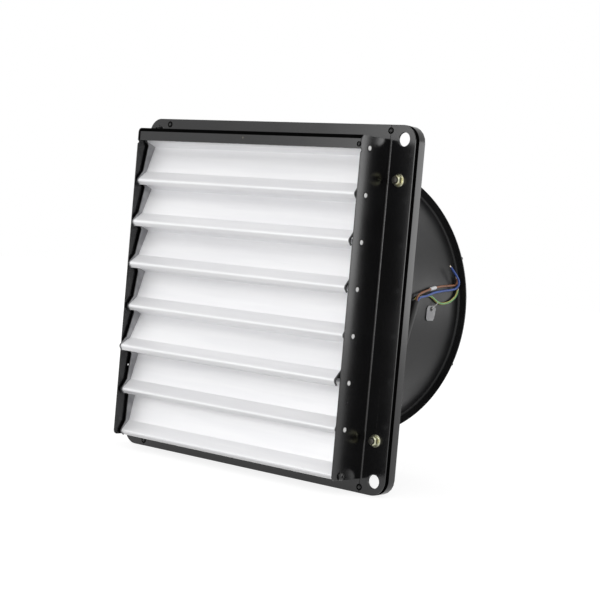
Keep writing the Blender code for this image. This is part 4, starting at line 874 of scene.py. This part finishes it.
def sheath_end():
    """The cut end of the cable's sheath: a shallow ring and a filler round the wires."""
    path = route("supply_cable")
    way = unit(path[-1] - path[-2])
    side = unit(np.cross(way, (0, 1, 0)))
    profile = rounded([(0.0, 0.0004), (0.0029, 0.0004), (0.0031, 0.0006), (0.0038, 0.0003),
                       (0.0038, -0.0002), (0.0, -0.0002)], [0, 0, 0, 0.0002, 0, 0], 3)
    grid = spun(profile, 32, path[-1], (side, np.cross(way, side), way))
    piece("sheath_end", [skin(grid)], "rubber")


def make_cords():
    path = route("supply_cable")
    cable, length = cord_piece("supply_cable", CABLE_RADIUS, "sheath", path, (0, 1, 0), 32)
    for look in ("brown", "blue", "earth"):
        name = look + "_wire"
        path = route(name, 0.0010)
        wire, length = cord_piece(name, WIRE_RADIUS, look, path, outward(path), 16)
        extras = [strand_end(name, path)]
        if look == "brown":
            extras.append(crimp_sleeve(path))
        if look == "earth":
            extras += [softened_piece("cable_tag", "card", 0.00015), tag_thread(), tag_eyelet()]
    cord_piece("motor_lead", CABLE_RADIUS - 2 * GAP, "sheath", route("motor_lead"), (0, 1, 0), 24)
    sheath_end()


make_cords()


# Louvres

LOUVRE_HALF, LOUVRE_SHEET = 0.1631, 0.0008
CURL_RADIUS = 0.0030
CURL_OUTER = CURL_RADIUS + LOUVRE_SHEET / 2
NOSE_UP, NOSE_LOW = np.radians(46.2), np.radians(-38.2)
NOSE_DEPTH, LIP_LENGTH, NOSE_BEND = 0.0172, 0.0070, 0.0024
NOSE_CLEAR = np.array((0.00068, 0.00035))
LEDGE, LEDGE_BEND = np.array((0.0120, -0.0056)), 0.0012
WAVER = 0.00012
CAP_SHEET, CAP_PROUD, CAP_EDGE = 0.0015, 0.0012, 0.00035
FOLD_SHEET = 0.0004


def across_slope(angle):
    """The direction square to a slope of the nose."""
    return np.array((np.sin(angle), -np.cos(angle)))


def louvre_points():
    """Corners of a louvre's section from its pivot: the ledge, the nose's foot and tip, and the
    lip. The nose's two slopes keep clear of the next louvre's curl."""
    clear = CURL_OUTER + LOUVRE_SHEET / 2 + NOSE_CLEAR
    corner = np.array((0.0, -PIVOT_PITCH)) + np.linalg.solve(
        [-across_slope(NOSE_UP), across_slope(NOSE_LOW)], clear)
    foot = corner + round_about(NOSE_UP) * NOSE_DEPTH
    lip = corner + round_about(NOSE_LOW) * LIP_LENGTH
    return LEDGE, foot, corner, lip


def louvre_sheet(index):
    """The louvre's section carried along X. The sheet wavers by up to a tenth of a millimetre:
    a sum of sines of X and of the way down the section."""
    curl = arc((0, 0), CURL_RADIUS, 60.0, 270.0, 28)
    bends = rounded([curl[-1], *louvre_points()], [0, LEDGE_BEND, LEDGE_BEND, NOSE_BEND, 0], 10)
    line = np.concatenate([curl, bends[1:]])
    long = int(np.argmax(np.linalg.norm(np.diff(line, axis=0), axis=1)))
    face = np.linspace(0, 1, 12)[1:-1, None]
    face = line[long] + face * (line[long + 1] - line[long])
    line = np.concatenate([line[:long + 1], face, line[long + 1:]])
    grid = swept_x(sheet_section(line, LOUVRE_SHEET), -LOUVRE_HALF, LOUVRE_HALF, 72)
    x, drop = grid[..., 0], -grid[..., 2] / PIVOT_PITCH
    phase = 1.7 * index
    free = np.clip(drop, 0, 1) * np.clip(1.25 - drop, 0, 1)
    wave = (np.sin(31 * x + phase) + 0.6 * np.sin(67 * x + 2.1 * phase + 2 * drop)
            + 0.4 * np.sin(113 * x - phase))
    grid[..., 1] += WAVER * wave * free
    return capped(about_pins(grid, index))


def cap_outline():
    """The end cap's edge: round the curl, down its straight front and round the nose."""
    ledge, foot, corner, lip = louvre_points()
    middle, half = (NOSE_UP + NOSE_LOW) / 2, (NOSE_UP - NOSE_LOW) / 2
    centre = corner + round_about(middle) * (NOSE_BEND / np.sin(half))
    down, back = across_slope(NOSE_LOW), across_slope(NOSE_UP)
    face = unit(ledge - foot)
    behind = np.array((face[1], -face[0])) * LOUVRE_SHEET
    return np.concatenate([
        arc((0, 0), CURL_OUTER + GAP, -20, 225, 24),
        [(0.0010, -0.0070), (0.0, foot[1])],
        arc(centre, NOSE_BEND + CAP_PROUD, 165, 270 + np.degrees(NOSE_LOW), 12),
        [lip + down * CAP_PROUD],
        arc((0.0, -PIVOT_PITCH), CURL_OUTER + GAP + 0.0004, 258, 90 + np.degrees(NOSE_UP), 16),
        [foot + back * LOUVRE_SHEET + behind, ledge + behind, ledge + LOUVRE_SHEET],
    ])


def end_plate(index, side, thickness, edge, centre):
    """A plate of the cap's outline across a louvre's end."""
    plate = placed(slab(cap_outline()[::side], thickness, edge), axes=ALONG_X)
    plate[..., 0] = side * (centre + plate[..., 0])
    return capped(about_pins(plate, index))


def about_pin(profile, index, side, steps, wrap=False):
    """A profile of radius and reach spun about a louvre's pin."""
    return skin(about_pins(spun(profile, steps, axes=ALONG_X) * (side, 1, 1), index), wrap)


def end_cap(index, side):
    """A moulded cap: its plate with a rounded edge, and the turned collar and pin."""
    collar = eased([(0.0028, 0.1648), (0.0045, 0.1648), (0.0045, 0.1665), (0.0028, 0.1665)], 0.0002)
    pin = rounded([(0.0, 0.1531), (0.0023, 0.1531), (0.0023, 0.1650), (0.0030, 0.1652),
                   (0.0030, 0.16825), (0.0020, 0.16825), (0.0, 0.1682)],
                  [0, 0.0003, 0, 0, 0.0002, 0, 0], 3)
    return [end_plate(index, side, CAP_SHEET, CAP_EDGE, LOUVRE_HALF + GAP + CAP_SHEET / 2),
            about_pin(collar, index, side, 40, True), about_pin(pin, index, side, 40)]


def end_fold(index, side):
    """The sheet's turned-up end, a thin plate against the cap's inner face, in a darker aluminium
    that is painted shade.
    """
    edge = FOLD_SHEET / 4
    return [end_plate(index, side, FOLD_SHEET, edge, LOUVRE_HALF + edge)]


def pin_end(index, side):
    """The pin's pale core: a shallow dome with a moulding dimple."""
    profile = rounded([(0.0, 0.1665), (0.00255, 0.1665), (0.00255, 0.16840), (0.0011, 0.16848),
                       (0.0007, 0.1683), (0.0, 0.1683)], [0, 0, 0.00025, 0.0001, 0.0001, 0], 4)
    return [about_pin(profile, index, side, 36)]


def make_louvres():
    for i in range(7):
        node, body = f"louvre_{i + 1}", f"louvre_{i + 1}_body"
        piece(node + "_sheet", [louvre_sheet(i)], "aluminium", node, body)
        for side, word in SIDES:
            stem = f"{node}_{word}"
            piece(stem + "_end", end_cap(i, side), "cap plastic", stem + "_cap", body)
            # the turned-up end's dark grey aluminium is painted shade
            piece(stem + "_fold", end_fold(i, side), "fold metal in painted shade", body=body)
            piece(stem + "_pin_end", pin_end(i, side), "pin nylon", body=body)


make_louvres()


# Frame rails

RAIL_HALF = SIDE_INNER - 0.0004
LIP_DROP, STOP_BACK, STOP_RISE = 0.0144, 0.0066, 0.007
SEAM_X, SEAM_Z = 0.1666, 0.1908
LIP_RIVET_X, LIP_RIVET_Z, MIDDLE_RIVET_Z = 0.1645, 0.1716, 0.1741


def rail_parts(side):
    """Wall and flange plates with their holes, and the fillet that the fold leaves outside."""
    edge, corner, relief_z, relief, bend = 0.0002, 0.005, SIDE_HALF - 0.0161, 0.0017, 0.0016
    front, back = SHUTTER_FRONT, FLANGE_FRONT + 0.0002
    wall = np.concatenate([
        rounded([(back, -SIDE_HALF), (back, SIDE_HALF), (front, SIDE_HALF),
                 (front, relief_z + relief)], [0, 0, corner, 0], 12),
        arc((front, relief_z), relief, 90, -90, 12)[1:-1],
        rounded([(front, relief_z - relief), (front, -SIDE_HALF), (back, -SIDE_HALF)],
                [0, corner, 0], 12)[:-1],
    ])
    holes = [circle(PIVOT_Y, z, PIN_HOLE, 40) for z in PIVOT_HEIGHTS]
    holes += [circle(PIVOT_Y, ROD_Z, ROD_HOLE, 32), circle(PIVOT_Y, PILOT_Z, PILOT_HOLE, 24)]
    parts = [plate_mesh([wall] + holes, SHEET, edge, (side * (SIDE_X - SHEET / 2), 0, 0), ALONG_X)]
    flange = rounded([(SIDE_INNER, -PLATE_Z), (PLATE_X, -PLATE_Z), (PLATE_X, PLATE_Z),
                      (SIDE_INNER, PLATE_Z)], [0, PLATE_CORNER, PLATE_CORNER, 0], 20, closed=True)
    holes = [circle(WALL_HOLE_X, z, WALL_HOLE, 64) for z in (-WALL_HOLE_Z, WALL_HOLE_Z)]
    holes += [circle(STUD_X, z, STUD_HOLE, 40) for z in (-STUD_Z, STUD_Z)]
    outlines = [line * (side, 1) for line in [flange] + holes]
    parts.append(plate_mesh(outlines, SHEET, edge, (0, FLANGE_BACK - SHEET / 2, 0), ALONG_MINUS_Y))
    fillet = arc((SIDE_X + bend, FLANGE_FRONT - bend), bend, 180, 90, 8)
    section = np.concatenate([fillet, [(SIDE_X - 0.0004, FLANGE_FRONT + 0.0003)]])
    parts.append(capped(placed(swept_x(section, -SIDE_HALF, SIDE_HALF),
                               axes=((0, 0, 1), (side, 0, 0), (0, 1, 0)))))
    return parts


def filled(line, step=0.002):
    """The line with extra points along its long straight runs, so that wear keeps to the edges."""
    rows = [line[:1]]
    for start, end in zip(line[:-1], line[1:]):
        count = max(1, int(np.linalg.norm(end - start) / step))
        rows.append(start + (end - start) * np.linspace(0, 1, count + 1)[1:, None])
    return np.concatenate(rows)


def cross_rail(name, back, radii, *points):
    """A rail's middle line, from the plate's edge forward and over its bends, carried along X."""
    line = rounded([(FLANGE_FRONT + SHEET / 2, back), *points], radii, 10)
    section = sheet_section(filled(line), SHEET)
    piece(name + "_sheet", [capped(swept_x(section, -RAIL_HALF, RAIL_HALF, 90))],
          "frame paint", name)


def shade_skin(line, proud):
    """A thin skin of painted shade over a bend, matte black where the crease looks dark. Its
    section is the bend's own line, moved outward and inward."""
    run = headings(line)
    out = np.stack([run[:, 1], -run[:, 0]], -1)
    sunk = 0.0003
    section = np.concatenate([line + out * proud, (line - out * sunk)[::-1]])
    return [capped(swept_x(section, -RAIL_HALF, RAIL_HALF, 4))]


def plate_shade_band():
    """Painted shade round the tray behind the plate, where the tray's bend looks dark: a matte
    black rounded rectangle's band along Y.
    """
    low, high, inside, proud = FLANGE_BACK + 0.0002, FLANGE_BACK + 0.0056, -0.0006, 0.00012
    rings = []
    for grow, y in ((inside, low), (proud, low), (proud, high), (inside, high)):
        x, z = PLATE_X + grow, PLATE_Z + grow
        line = eased([(-x, -z), (x, -z), (x, z), (-x, z)], PLATE_CORNER + grow, 20)
        rings.append(np.insert(line, 1, y, axis=1))
    return [looped(rings)]


def rivet(radius, rise):
    """A domed head: a low spherical top that turns over to a short straight edge."""
    flat = 0.4
    angle = np.linspace(np.pi / 2, 0.12, 9)
    dome = np.stack([radius * np.cos(angle), rise * flat + rise * (1 - flat) * np.sin(angle)], -1)
    return np.concatenate([dome, [(radius, 0.0), (radius * 0.9, -0.0003), (0.0, -0.0003)]])


def pressed_rivet(radius, rise):
    """A rivet head in its pressed ring: a low dome with a pit, inside a raised round rim."""
    reach = np.array((0.0, 0.28, 0.34, 0.58, 0.70, 0.80, 0.88, 1.0)) * radius
    height = np.array((0.35, 0.35, 0.8, 1.0, 0.10, 0.10, 0.55, 0.0)) * rise
    return rounded([*zip(reach, height), (radius, -0.0003), (0.0, -0.0003)],
                   [0, 0.0001, 0.0002, 0.0003, 0.0002, 0.0002, 0.0003, 0, 0, 0], 4)


def rivet_ring(radius, width, rise):
    """The ring round a rivet, in painted shade where the groove round the rivet looks dark: a low
    rounded ridge spun about the rivet.
    """
    inner, foot = radius - width, -0.0003
    return rounded([(inner, foot), (inner, rise), (radius, rise), (radius, foot)],
                   [0, width * 0.4, width * 0.4, 0], 5)


def make_rails():
    for side, word in SIDES:
        piece(f"{word}_rail_sheet", rail_parts(side), "frame paint", f"{word}_rail", bend=40.0)
    web, front = SIDE_HALF - SHEET / 2, SHUTTER_FRONT + SHEET / 2
    foot, back, bend, tight = FLANGE_FRONT + SHEET / 2, PIVOT_Y + STOP_BACK, 0.0030, 0.0020
    cross_rail("top_rail", PLATE_Z, [0, tight, bend, 0],
               (foot, web), (front, web), (front, SIDE_HALF - LIP_DROP))
    cross_rail("bottom_rail", -PLATE_Z, [0, tight, tight, 0],
               (foot, -web), (back, -web), (back, STOP_RISE - web))
    # Painted shade: a matte black skin over the top lip's bend, where the crease looks dark
    over = arc((front + bend, web - bend), bend + SHEET / 2, 184, 86, 14)
    piece("top_edge_shade", shade_skin(over, 0.00012), "shade paint")
    # Painted shade: a matte black skin on the lip's end, where the end looks dark
    low, high, inner = SIDE_HALF - 0.0142, SIDE_HALF - 0.0006, SIDE_INNER - 0.0026
    slant, thick, edge, proud = 0.001, 0.0005, 0.0001, 0.00012
    corners = [(-RAIL_HALF, low), (-inner, low), (-inner, high - slant), (-RAIL_HALF, high)]
    end = slab(eased(corners, 0.0004, 3), thick, edge)
    end = placed(end, (0, SHUTTER_FRONT + thick / 2 - proud, 0), ALONG_MINUS_Y)
    piece("lip_end_shade", [capped(end)], "shade paint")
    # Painted shade: a matte black band round the tray's bend behind the plate
    piece("plate_seam_shade", plate_shade_band(), "shade paint")
    corners = [(x, z) for x in (-SEAM_X, SEAM_X) for z in (-SEAM_Z, SEAM_Z)]
    places = [(f"seam_{i + 1}", (x, FLANGE_FRONT, z), 0.0036) for i, (x, z) in enumerate(corners)]
    places.append(("lip_corner", (LIP_RIVET_X, SHUTTER_FRONT, LIP_RIVET_Z), 0.0028))
    for word, place, radius in places:
        for part, look, profile in (
            ("rivet", "frame paint", pressed_rivet(radius * 0.62, 0.0008)),
            # the ring is painted shade: matte black for the dark groove round each rivet
            ("ring", "shade paint", rivet_ring(radius, radius * 0.38, 0.0006)),
        ):
            piece(f"{word}_{part}", [skin(spun(profile, 40, place, ALONG_MINUS_Y))], look)
    head = rivet(radius=0.0013, rise=0.0005)
    head = spun(head, 24, (0.0, SHUTTER_FRONT, MIDDLE_RIVET_Z), ALONG_MINUS_Y)
    piece("top_lip_rivet", [skin(head)], "dark bolt")


make_rails()


# Fasteners

def flanged_nut(flats, height, flange, sheet, bore):
    """A hexagon whose corners are cut by a cone at the top, over a round flange. Each ring's
    radius is the smaller of the hexagon's reach and the cone at that height."""
    corner, cone_from, slope = 1.155, 0.72, 1.3
    angle = turns(96)
    reach = flats / 2 / np.cos((angle + np.pi / 6) % (np.pi / 3) - np.pi / 6)
    top = sheet + height
    levels = np.concatenate([[sheet, sheet + 0.0004], np.linspace(sheet + height * 0.55, top, 8)])
    cone = flats / 2 * corner - np.clip(levels - (sheet + height * cone_from), 0, None) * slope
    foot = [(bore, 0.0), (flange - 0.0003, 0.0), (flange, 0.0003), (flange - 0.0004, sheet * 0.8)]
    mouth = [(bore + 0.0004, top), (bore, top - 0.0004)]
    radius, height = np.array([*foot, *zip(cone, levels), *mouth]).T[..., None]
    radius = np.repeat(radius, len(angle), axis=1)
    hexagon = slice(len(foot), -len(mouth))
    radius[hexagon] = np.minimum(radius[hexagon], reach)
    return looped(polar(radius, angle, height))


def threaded(radius, depth, pitch, high):
    """A screw thread: the radius falls by a triangle wave of height less the turn, and the tip
    draws in over a short cone."""
    angle, chamfer, slope = turns(40), 0.0006, 0.9
    height = np.linspace(0.0, high, int(round(high / pitch * 10)) + 1)[:, None]
    turn = (height / pitch - angle / TAU) % 1.0
    tip = radius - np.clip(height - (high - chamfer), 0, None) * slope
    grid = polar(np.minimum(radius - depth * np.abs(2 * turn - 1), tip), angle, height)
    return capped(np.concatenate([grid, grid[-1:] * (0.02, 0.02, 1)]))


def cross_head(radius, rise, recess=0.0016, arm=0.00045, steps=72, rings=26):
    """A pan head with a cross recess: a low dome over radius and angle, less a pit wherever the
    place lies within either arm of the cross."""
    fall, deep, end = 0.45, 0.55, 0.0004
    reach = (np.linspace(0, 1, rings)**0.85 * radius)[:, None]
    top = polar(reach, turns(steps), rise * (1 - fall * (reach / radius) ** 4))
    inside, long = np.sort(np.abs(top[..., :2]), -1).T
    pit = np.clip((arm - inside) / (arm * 0.5) + 0.5, 0, 1)
    top[..., 2] -= (pit * np.clip((recess - long) / end, 0, 1) * rise * deep).T
    return skin(np.concatenate([top, top[-1:] * (1, 1, 0)]), last=True)


def carried(part, origin, axes):
    return placed(part[0], origin, axes), part[1]


def make_fasteners():
    places = [(x, z) for x in (-STUD_X, STUD_X) for z in (-STUD_Z, STUD_Z)]
    for i, (x, z) in enumerate(places):
        nut = flanged_nut(flats=0.010, height=0.0048, flange=0.0071, sheet=0.0012, bore=0.0033)
        nut = carried(nut, (x, FLANGE_FRONT - GAP, z), ALONG_MINUS_Y)
        piece(f"flange_nut_{i + 1}", [nut], "zinc", f"plate_nut_{i + 1}", bend=28.0)
        stud = threaded(radius=0.00318, depth=0.00016, pitch=0.0010, high=0.0088)
        stud = carried(stud, (x, FLANGE_FRONT - 0.0002, z), ALONG_MINUS_Y)
        piece(f"stud_thread_{i + 1}", [stud], "dark bolt", bend=50.0)
    rod = (0, PIVOT_Y, ROD_Z)
    for (side, word), axes in zip(SIDES, (ALONG_MINUS_X, ALONG_X)):
        head = cross_head(radius=0.0042, rise=0.0026)
        head = carried(head, (side * (SIDE_X + GAP), PIVOT_Y, ROD_Z), axes)
        shank = [(0.0, 0.156), (0.0019, 0.156), (0.0019, 0.1685), (0.0, 0.1685)]
        shank = spun(shank, 24, rod, ALONG_X)
        piece(f"rod_screw_{word}", [head, skin(shank * (side, 1, 1))], "screw black",
              f"stop_rod_{word}_screw", bend=40.0)
    outer, inner, half = 0.0034, 0.0022, 0.1665
    bar = eased([(outer, -half), (outer, half), (inner, half), (inner, -half)], 0.0003, 3)
    piece("stop_rod_bar", [looped(spun(bar, 40, rod, ALONG_X))], "frame paint", "stop_rod")


make_fasteners()


# Drum, guard and impeller

FRONT_FLANGE, REAR_FLANGE, FRONT_BEND, REAR_BEND = 0.0085, 0.0100, 0.0008, 0.0034
RIM_INSET = 0.0050


def make_drum():
    """The rolled drum: its sheet section spun about Y, with its turned-out ends."""
    middle = DRUM_RADIUS - SHEET / 2
    front, rear = DRUM_FRONT + SHEET / 2, DRUM_REAR - SHEET / 2
    line = rounded([(DRUM_RADIUS + FRONT_FLANGE, front), (middle, front), (middle, rear),
                    (DRUM_RADIUS + REAR_FLANGE, rear)], [0, FRONT_BEND, REAR_BEND, 0], 8)
    grid = spun(sheet_section(line, SHEET), 192, axes=ALONG_Y)
    piece("drum_sheet", [looped(grid)], "drum paint", "duct_drum")


def make_guard():
    """Rings and bent spokes of round wire, pressed together a little where they are welded."""
    wire, rim_wire, weld, bend = 0.0018, 0.0021, 0.0005, 0.0045
    small, large = 0.030, 0.1385
    rim_y = DRUM_REAR + GAP + rim_wire
    rim = DRUM_RADIUS + RIM_INSET + REAR_BEND / 3
    spoke_y = rim_y + rim_wire + wire - weld
    flat = spoke_y + 0.0090
    rings = [(circle(rim, rim_y, rim_wire, 12), 160)]
    rings += [(circle(reach, flat - 2 * wire + weld, wire, 12), 128)
              for reach in np.linspace(small, large, 4)]
    parts = [looped(spun(section, steps, axes=ALONG_Y)) for section, steps in rings]
    middle = (rim + large) / 2
    line = rounded([(rim, spoke_y), (middle + bend, spoke_y), (middle - bend, flat), (small, flat)],
                   [0, 0.005, 0.005, 0], 6)
    spoke = domed_tube(np.pad(line, ((0, 0), (0, 1))), wire, (0, 0, 1), 12)
    parts += [capped(about_drum(spoke, 22.5 + 45.0 * k)) for k in range(8)]
    piece("guard_wires", parts, "part paint", "wire_guard")


BLADE_COUNT, BLADE_STEP = 5, 72.0
BLADE_ROOT, BLADE_TIP, ARM_REACH = 0.040, 0.1475, 0.072
BLADE_WIDTH, BLADE_WIDENS, CAMBER = 0.050, 0.048, 0.0075
BLADE_HALF_SHEET, BLADE_ROUND = 0.0006, 0.0004
PITCH_DEG, PITCH_FALLS_DEG, SWEEP_DEG = 33.0, 12.0, 12.0
ROOT_PITCH = np.radians(PITCH_DEG)
ARM_START, ARM_HALF, ARM_SHEET = 0.015, 0.011, 0.0025
HUB_BORE, DISC_RADIUS = 0.0133, 0.030
RIVET_PLACES = ((0.050, -0.005), (0.050, 0.005), (0.063, 0.0))


def round_edge(grid):
    """The outermost points of a grid, once round."""
    return np.concatenate([grid[:, 0], grid[-1, 1:], grid[-2::-1, -1], grid[0, -2:0:-1]])


def blade(turn):
    """One blade as a grid over its span and its chord: the pitch falls and the tip sweeps
    forward along the span, and the chord is cambered by a parabola."""
    span = np.linspace(0, 1, 26)[:, None]
    chord = np.linspace(0, 1, 19)[None]
    width = BLADE_WIDTH + BLADE_WIDENS * np.sin(span * np.pi / 2)
    start = (ARM_REACH - BLADE_ROOT) / (BLADE_TIP - BLADE_ROOT)
    out = np.clip((span - start) / (1 - start), 0, None)
    pitch = np.radians(PITCH_DEG - PITCH_FALLS_DEG * out)
    along = (chord - 0.5) * width
    camber = CAMBER * out * (1 - (2 * chord - 1) ** 2)
    across = along * np.cos(pitch) - camber * np.sin(pitch)
    reach = np.sqrt(np.clip(BLADE_TIP**2 - across**2, 0, None))
    radius = BLADE_ROOT + (reach - BLADE_ROOT) * span
    y = along * np.sin(pitch) + camber * np.cos(pitch)
    sweep = np.radians(SWEEP_DEG) * out**2
    grid = np.stack([radius * np.cos(sweep) - across * np.sin(sweep), y,
                     radius * np.sin(sweep) + across * np.cos(sweep)], -1)
    normal = unit(np.cross(np.gradient(grid, axis=0), np.gradient(grid, axis=1)))
    sides = [grid + BLADE_HALF_SHEET * normal, grid - BLADE_HALF_SHEET * normal]
    middle = round_edge(grid)
    middle = middle + unit(middle - middle.mean(0)) * BLADE_ROUND
    edge = np.stack([round_edge(sides[0]), middle, round_edge(sides[1])])
    faces = [skin(about_drum(side, turn) + IMPELLER, wrap_v=False) for side in sides]
    return faces + [skin(about_drum(edge, turn) + IMPELLER)]


def pitched(points, turn):
    """Lean an arm's own grid, of reach, width and thickness, by its pitch and turn it round."""
    x, z, y = np.moveaxis(points, -1, 0)
    cos, sin = np.cos(ROOT_PITCH), np.sin(ROOT_PITCH)
    return about_drum(np.stack([x, y * cos + z * sin, z * cos - y * sin], -1), turn) + IMPELLER


def make_impeller():
    """Blades, the middle disc, the pitched arms and the rivets that hold the blades to them."""
    parts = [part for k in range(BLADE_COUNT) for part in blade(BLADE_STEP * k)]
    half, lift = ARM_HALF * np.sin(ROOT_PITCH) + ARM_SHEET, ARM_SHEET / 2
    disc = eased([(HUB_BORE, -half - lift), (DISC_RADIUS, -half - lift),
                  (DISC_RADIUS, half - lift), (HUB_BORE, half - lift)], 0.0006)
    parts.append(looped(spun(disc, 72, IMPELLER, ALONG_Y)))
    line = rounded([(ARM_START, -ARM_HALF), (ARM_REACH, -ARM_HALF), (ARM_REACH, ARM_HALF),
                    (ARM_START, ARM_HALF)], [0, 0.0073, 0.0073, 0], 8, closed=True)
    arm = slab(line, ARM_SHEET, 0.0004) - (0, 0, lift)
    head = spun(rivet(radius=0.0026, rise=0.0012), 20) * (1, 1, -1)
    for k in range(BLADE_COUNT):
        parts.append(capped(pitched(arm, BLADE_STEP * k)))
        for reach, side in RIVET_PLACES:
            parts.append(skin(pitched(head + (reach, side, -ARM_SHEET), BLADE_STEP * k)))
    piece("impeller_blades", parts, "part paint", "fan_impeller", "impeller")


make_drum()
make_guard()
make_impeller()


# Other solids, with rounded edges and their finishes

for look, width, nodes, *slot in (
    ("frame paint", 0.0002, "mounting_tray"),
    ("part paint", 0.0004, "motor_bracket"),
    ("motor paint", 0.0004, "motor_front_cover motor_rear_cover"),
    ("motor paint", 0.0003, "motor_shell"),
    ("core", 0.0002, "stator_core"),
    ("copper", 0.0006, "stator_winding"),
    ("core", 0.0002, "rotor_core"),
    ("steel", 0.0003, "front_bearing rear_bearing"),
    ("steel", 0.0002, "motor_left_bolt motor_right_bolt"),
    ("steel", 0.0004, "motor_shaft"),
    ("steel", 0.0003, "fan_hub"),
    ("zinc", 0.0004, "shaft_nut", "bright_steel"),
    ("steel", 0.0002, "guard_top_clip guard_bottom_clip"),
    ("rubber", 0.0003, "cable_grommet"),
    ("cap plastic", 0.0002, "cable_clip"),
):
    for node in nodes.split():
        softened_piece(node, look, width, *slot)


# Studio

AMBIENT = 0.73
LAMPS = (
    ("key", (1.6, -2.4, 2.2), (0.0, 0.0, 0.0), 1.6, 7.0, True),
    ("front", (0.9, -3.0, -0.05), (0.0, 0.0, 0.0), 0.8, 15.0, True),
    ("left_front", (-1.05, -2.6, 0.45), (0.0, 0.0, 0.0), 1.4, 14.5, True),
    ("fill", (-2.6, -1.8, 0.9), (0.0, 0.0, 0.0), 2.0, 12.0, False),
    ("right_rear", (2.05, 1.95, 0.0), (0.1, 0.05, 0.0), 1.7, 20.0, True),
)


def seen_rays(tree):
    """1 for what the camera sees, directly, in a reflection or through glass."""
    path = tree.nodes.new("ShaderNodeLightPath").outputs
    both = maths(tree, "ADD", path["Is Camera Ray"], path["Is Glossy Ray"])
    return maths(tree, "ADD", both, path["Is Transmission Ray"], clamp=True)


def make_floor():
    """A pale floor just under the object. It glows for the camera, and more further out, so
    that its far edge is white."""
    half, under, near, far, glow, more = 6.0, 0.0004, 0.3, 2.2, 0.84, 0.07
    line = np.linspace(-half, half, 9)
    low = float(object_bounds()[0][2]) - under
    grid = np.stack(np.broadcast_arrays(line[:, None], line, low), -1)
    corners, faces = skin(grid, wrap_v=False)
    mesh = bpy.data.meshes.new("floor")
    mesh.from_pydata(corners.tolist(), [], faces)
    material, tree = blank("pale floor")
    shader = tree.nodes["Principled BSDF"]
    distance = add(tree, "ShaderNodeVectorMath", {"Vector": own_place(tree)}, operation="LENGTH")
    out = ramped(tree, distance.outputs["Value"], near, far)
    glow = maths(tree, "MULTIPLY_ADD", out, more, glow)
    for name, value in (
        ("Base Color", (0.28, 0.28, 0.28)), ("Roughness", 0.9), ("Specular IOR Level", 0.0),
        ("Emission Color", (1.0, 1.0, 1.0)),
        ("Emission Strength", maths(tree, "MULTIPLY", seen_rays(tree), glow)),
    ):
        feed(tree, shader.inputs[name], value)
    material.cycles.emission_sampling = "NONE"
    mesh.materials.append(material)
    floor = linked("floor", mesh)


def make_lights():
    """White round about for the camera and for reflections, and five soft square lamps."""
    world = bpy.data.worlds.new("studio")
    world.use_nodes = True
    world.cycles.sampling_method = "NONE"
    tree = world.node_tree
    back = tree.nodes["Background"].inputs
    feed(tree, back["Color"], (1.0, 1.0, 1.0))
    light = maths(tree, "MULTIPLY_ADD", seen_rays(tree), 1.0 - AMBIENT, AMBIENT)
    feed(tree, back["Strength"], light)
    bpy.context.scene.world = world
    for name, place, aim, size, power, mirrored in LAMPS:
        data = bpy.data.lights.new(name, "AREA")
        data.shape, data.size, data.energy = "SQUARE", size, power
        lamp = linked(name, data)
        lamp.location = place
        turn = (Vector(aim) - Vector(place)).to_track_quat("-Z", "Y")
        lamp.rotation_euler = turn.to_euler()
        lamp.visible_glossy = mirrored


make_floor()
make_lights()
bpy.context.scene.view_settings.view_transform = "Standard"
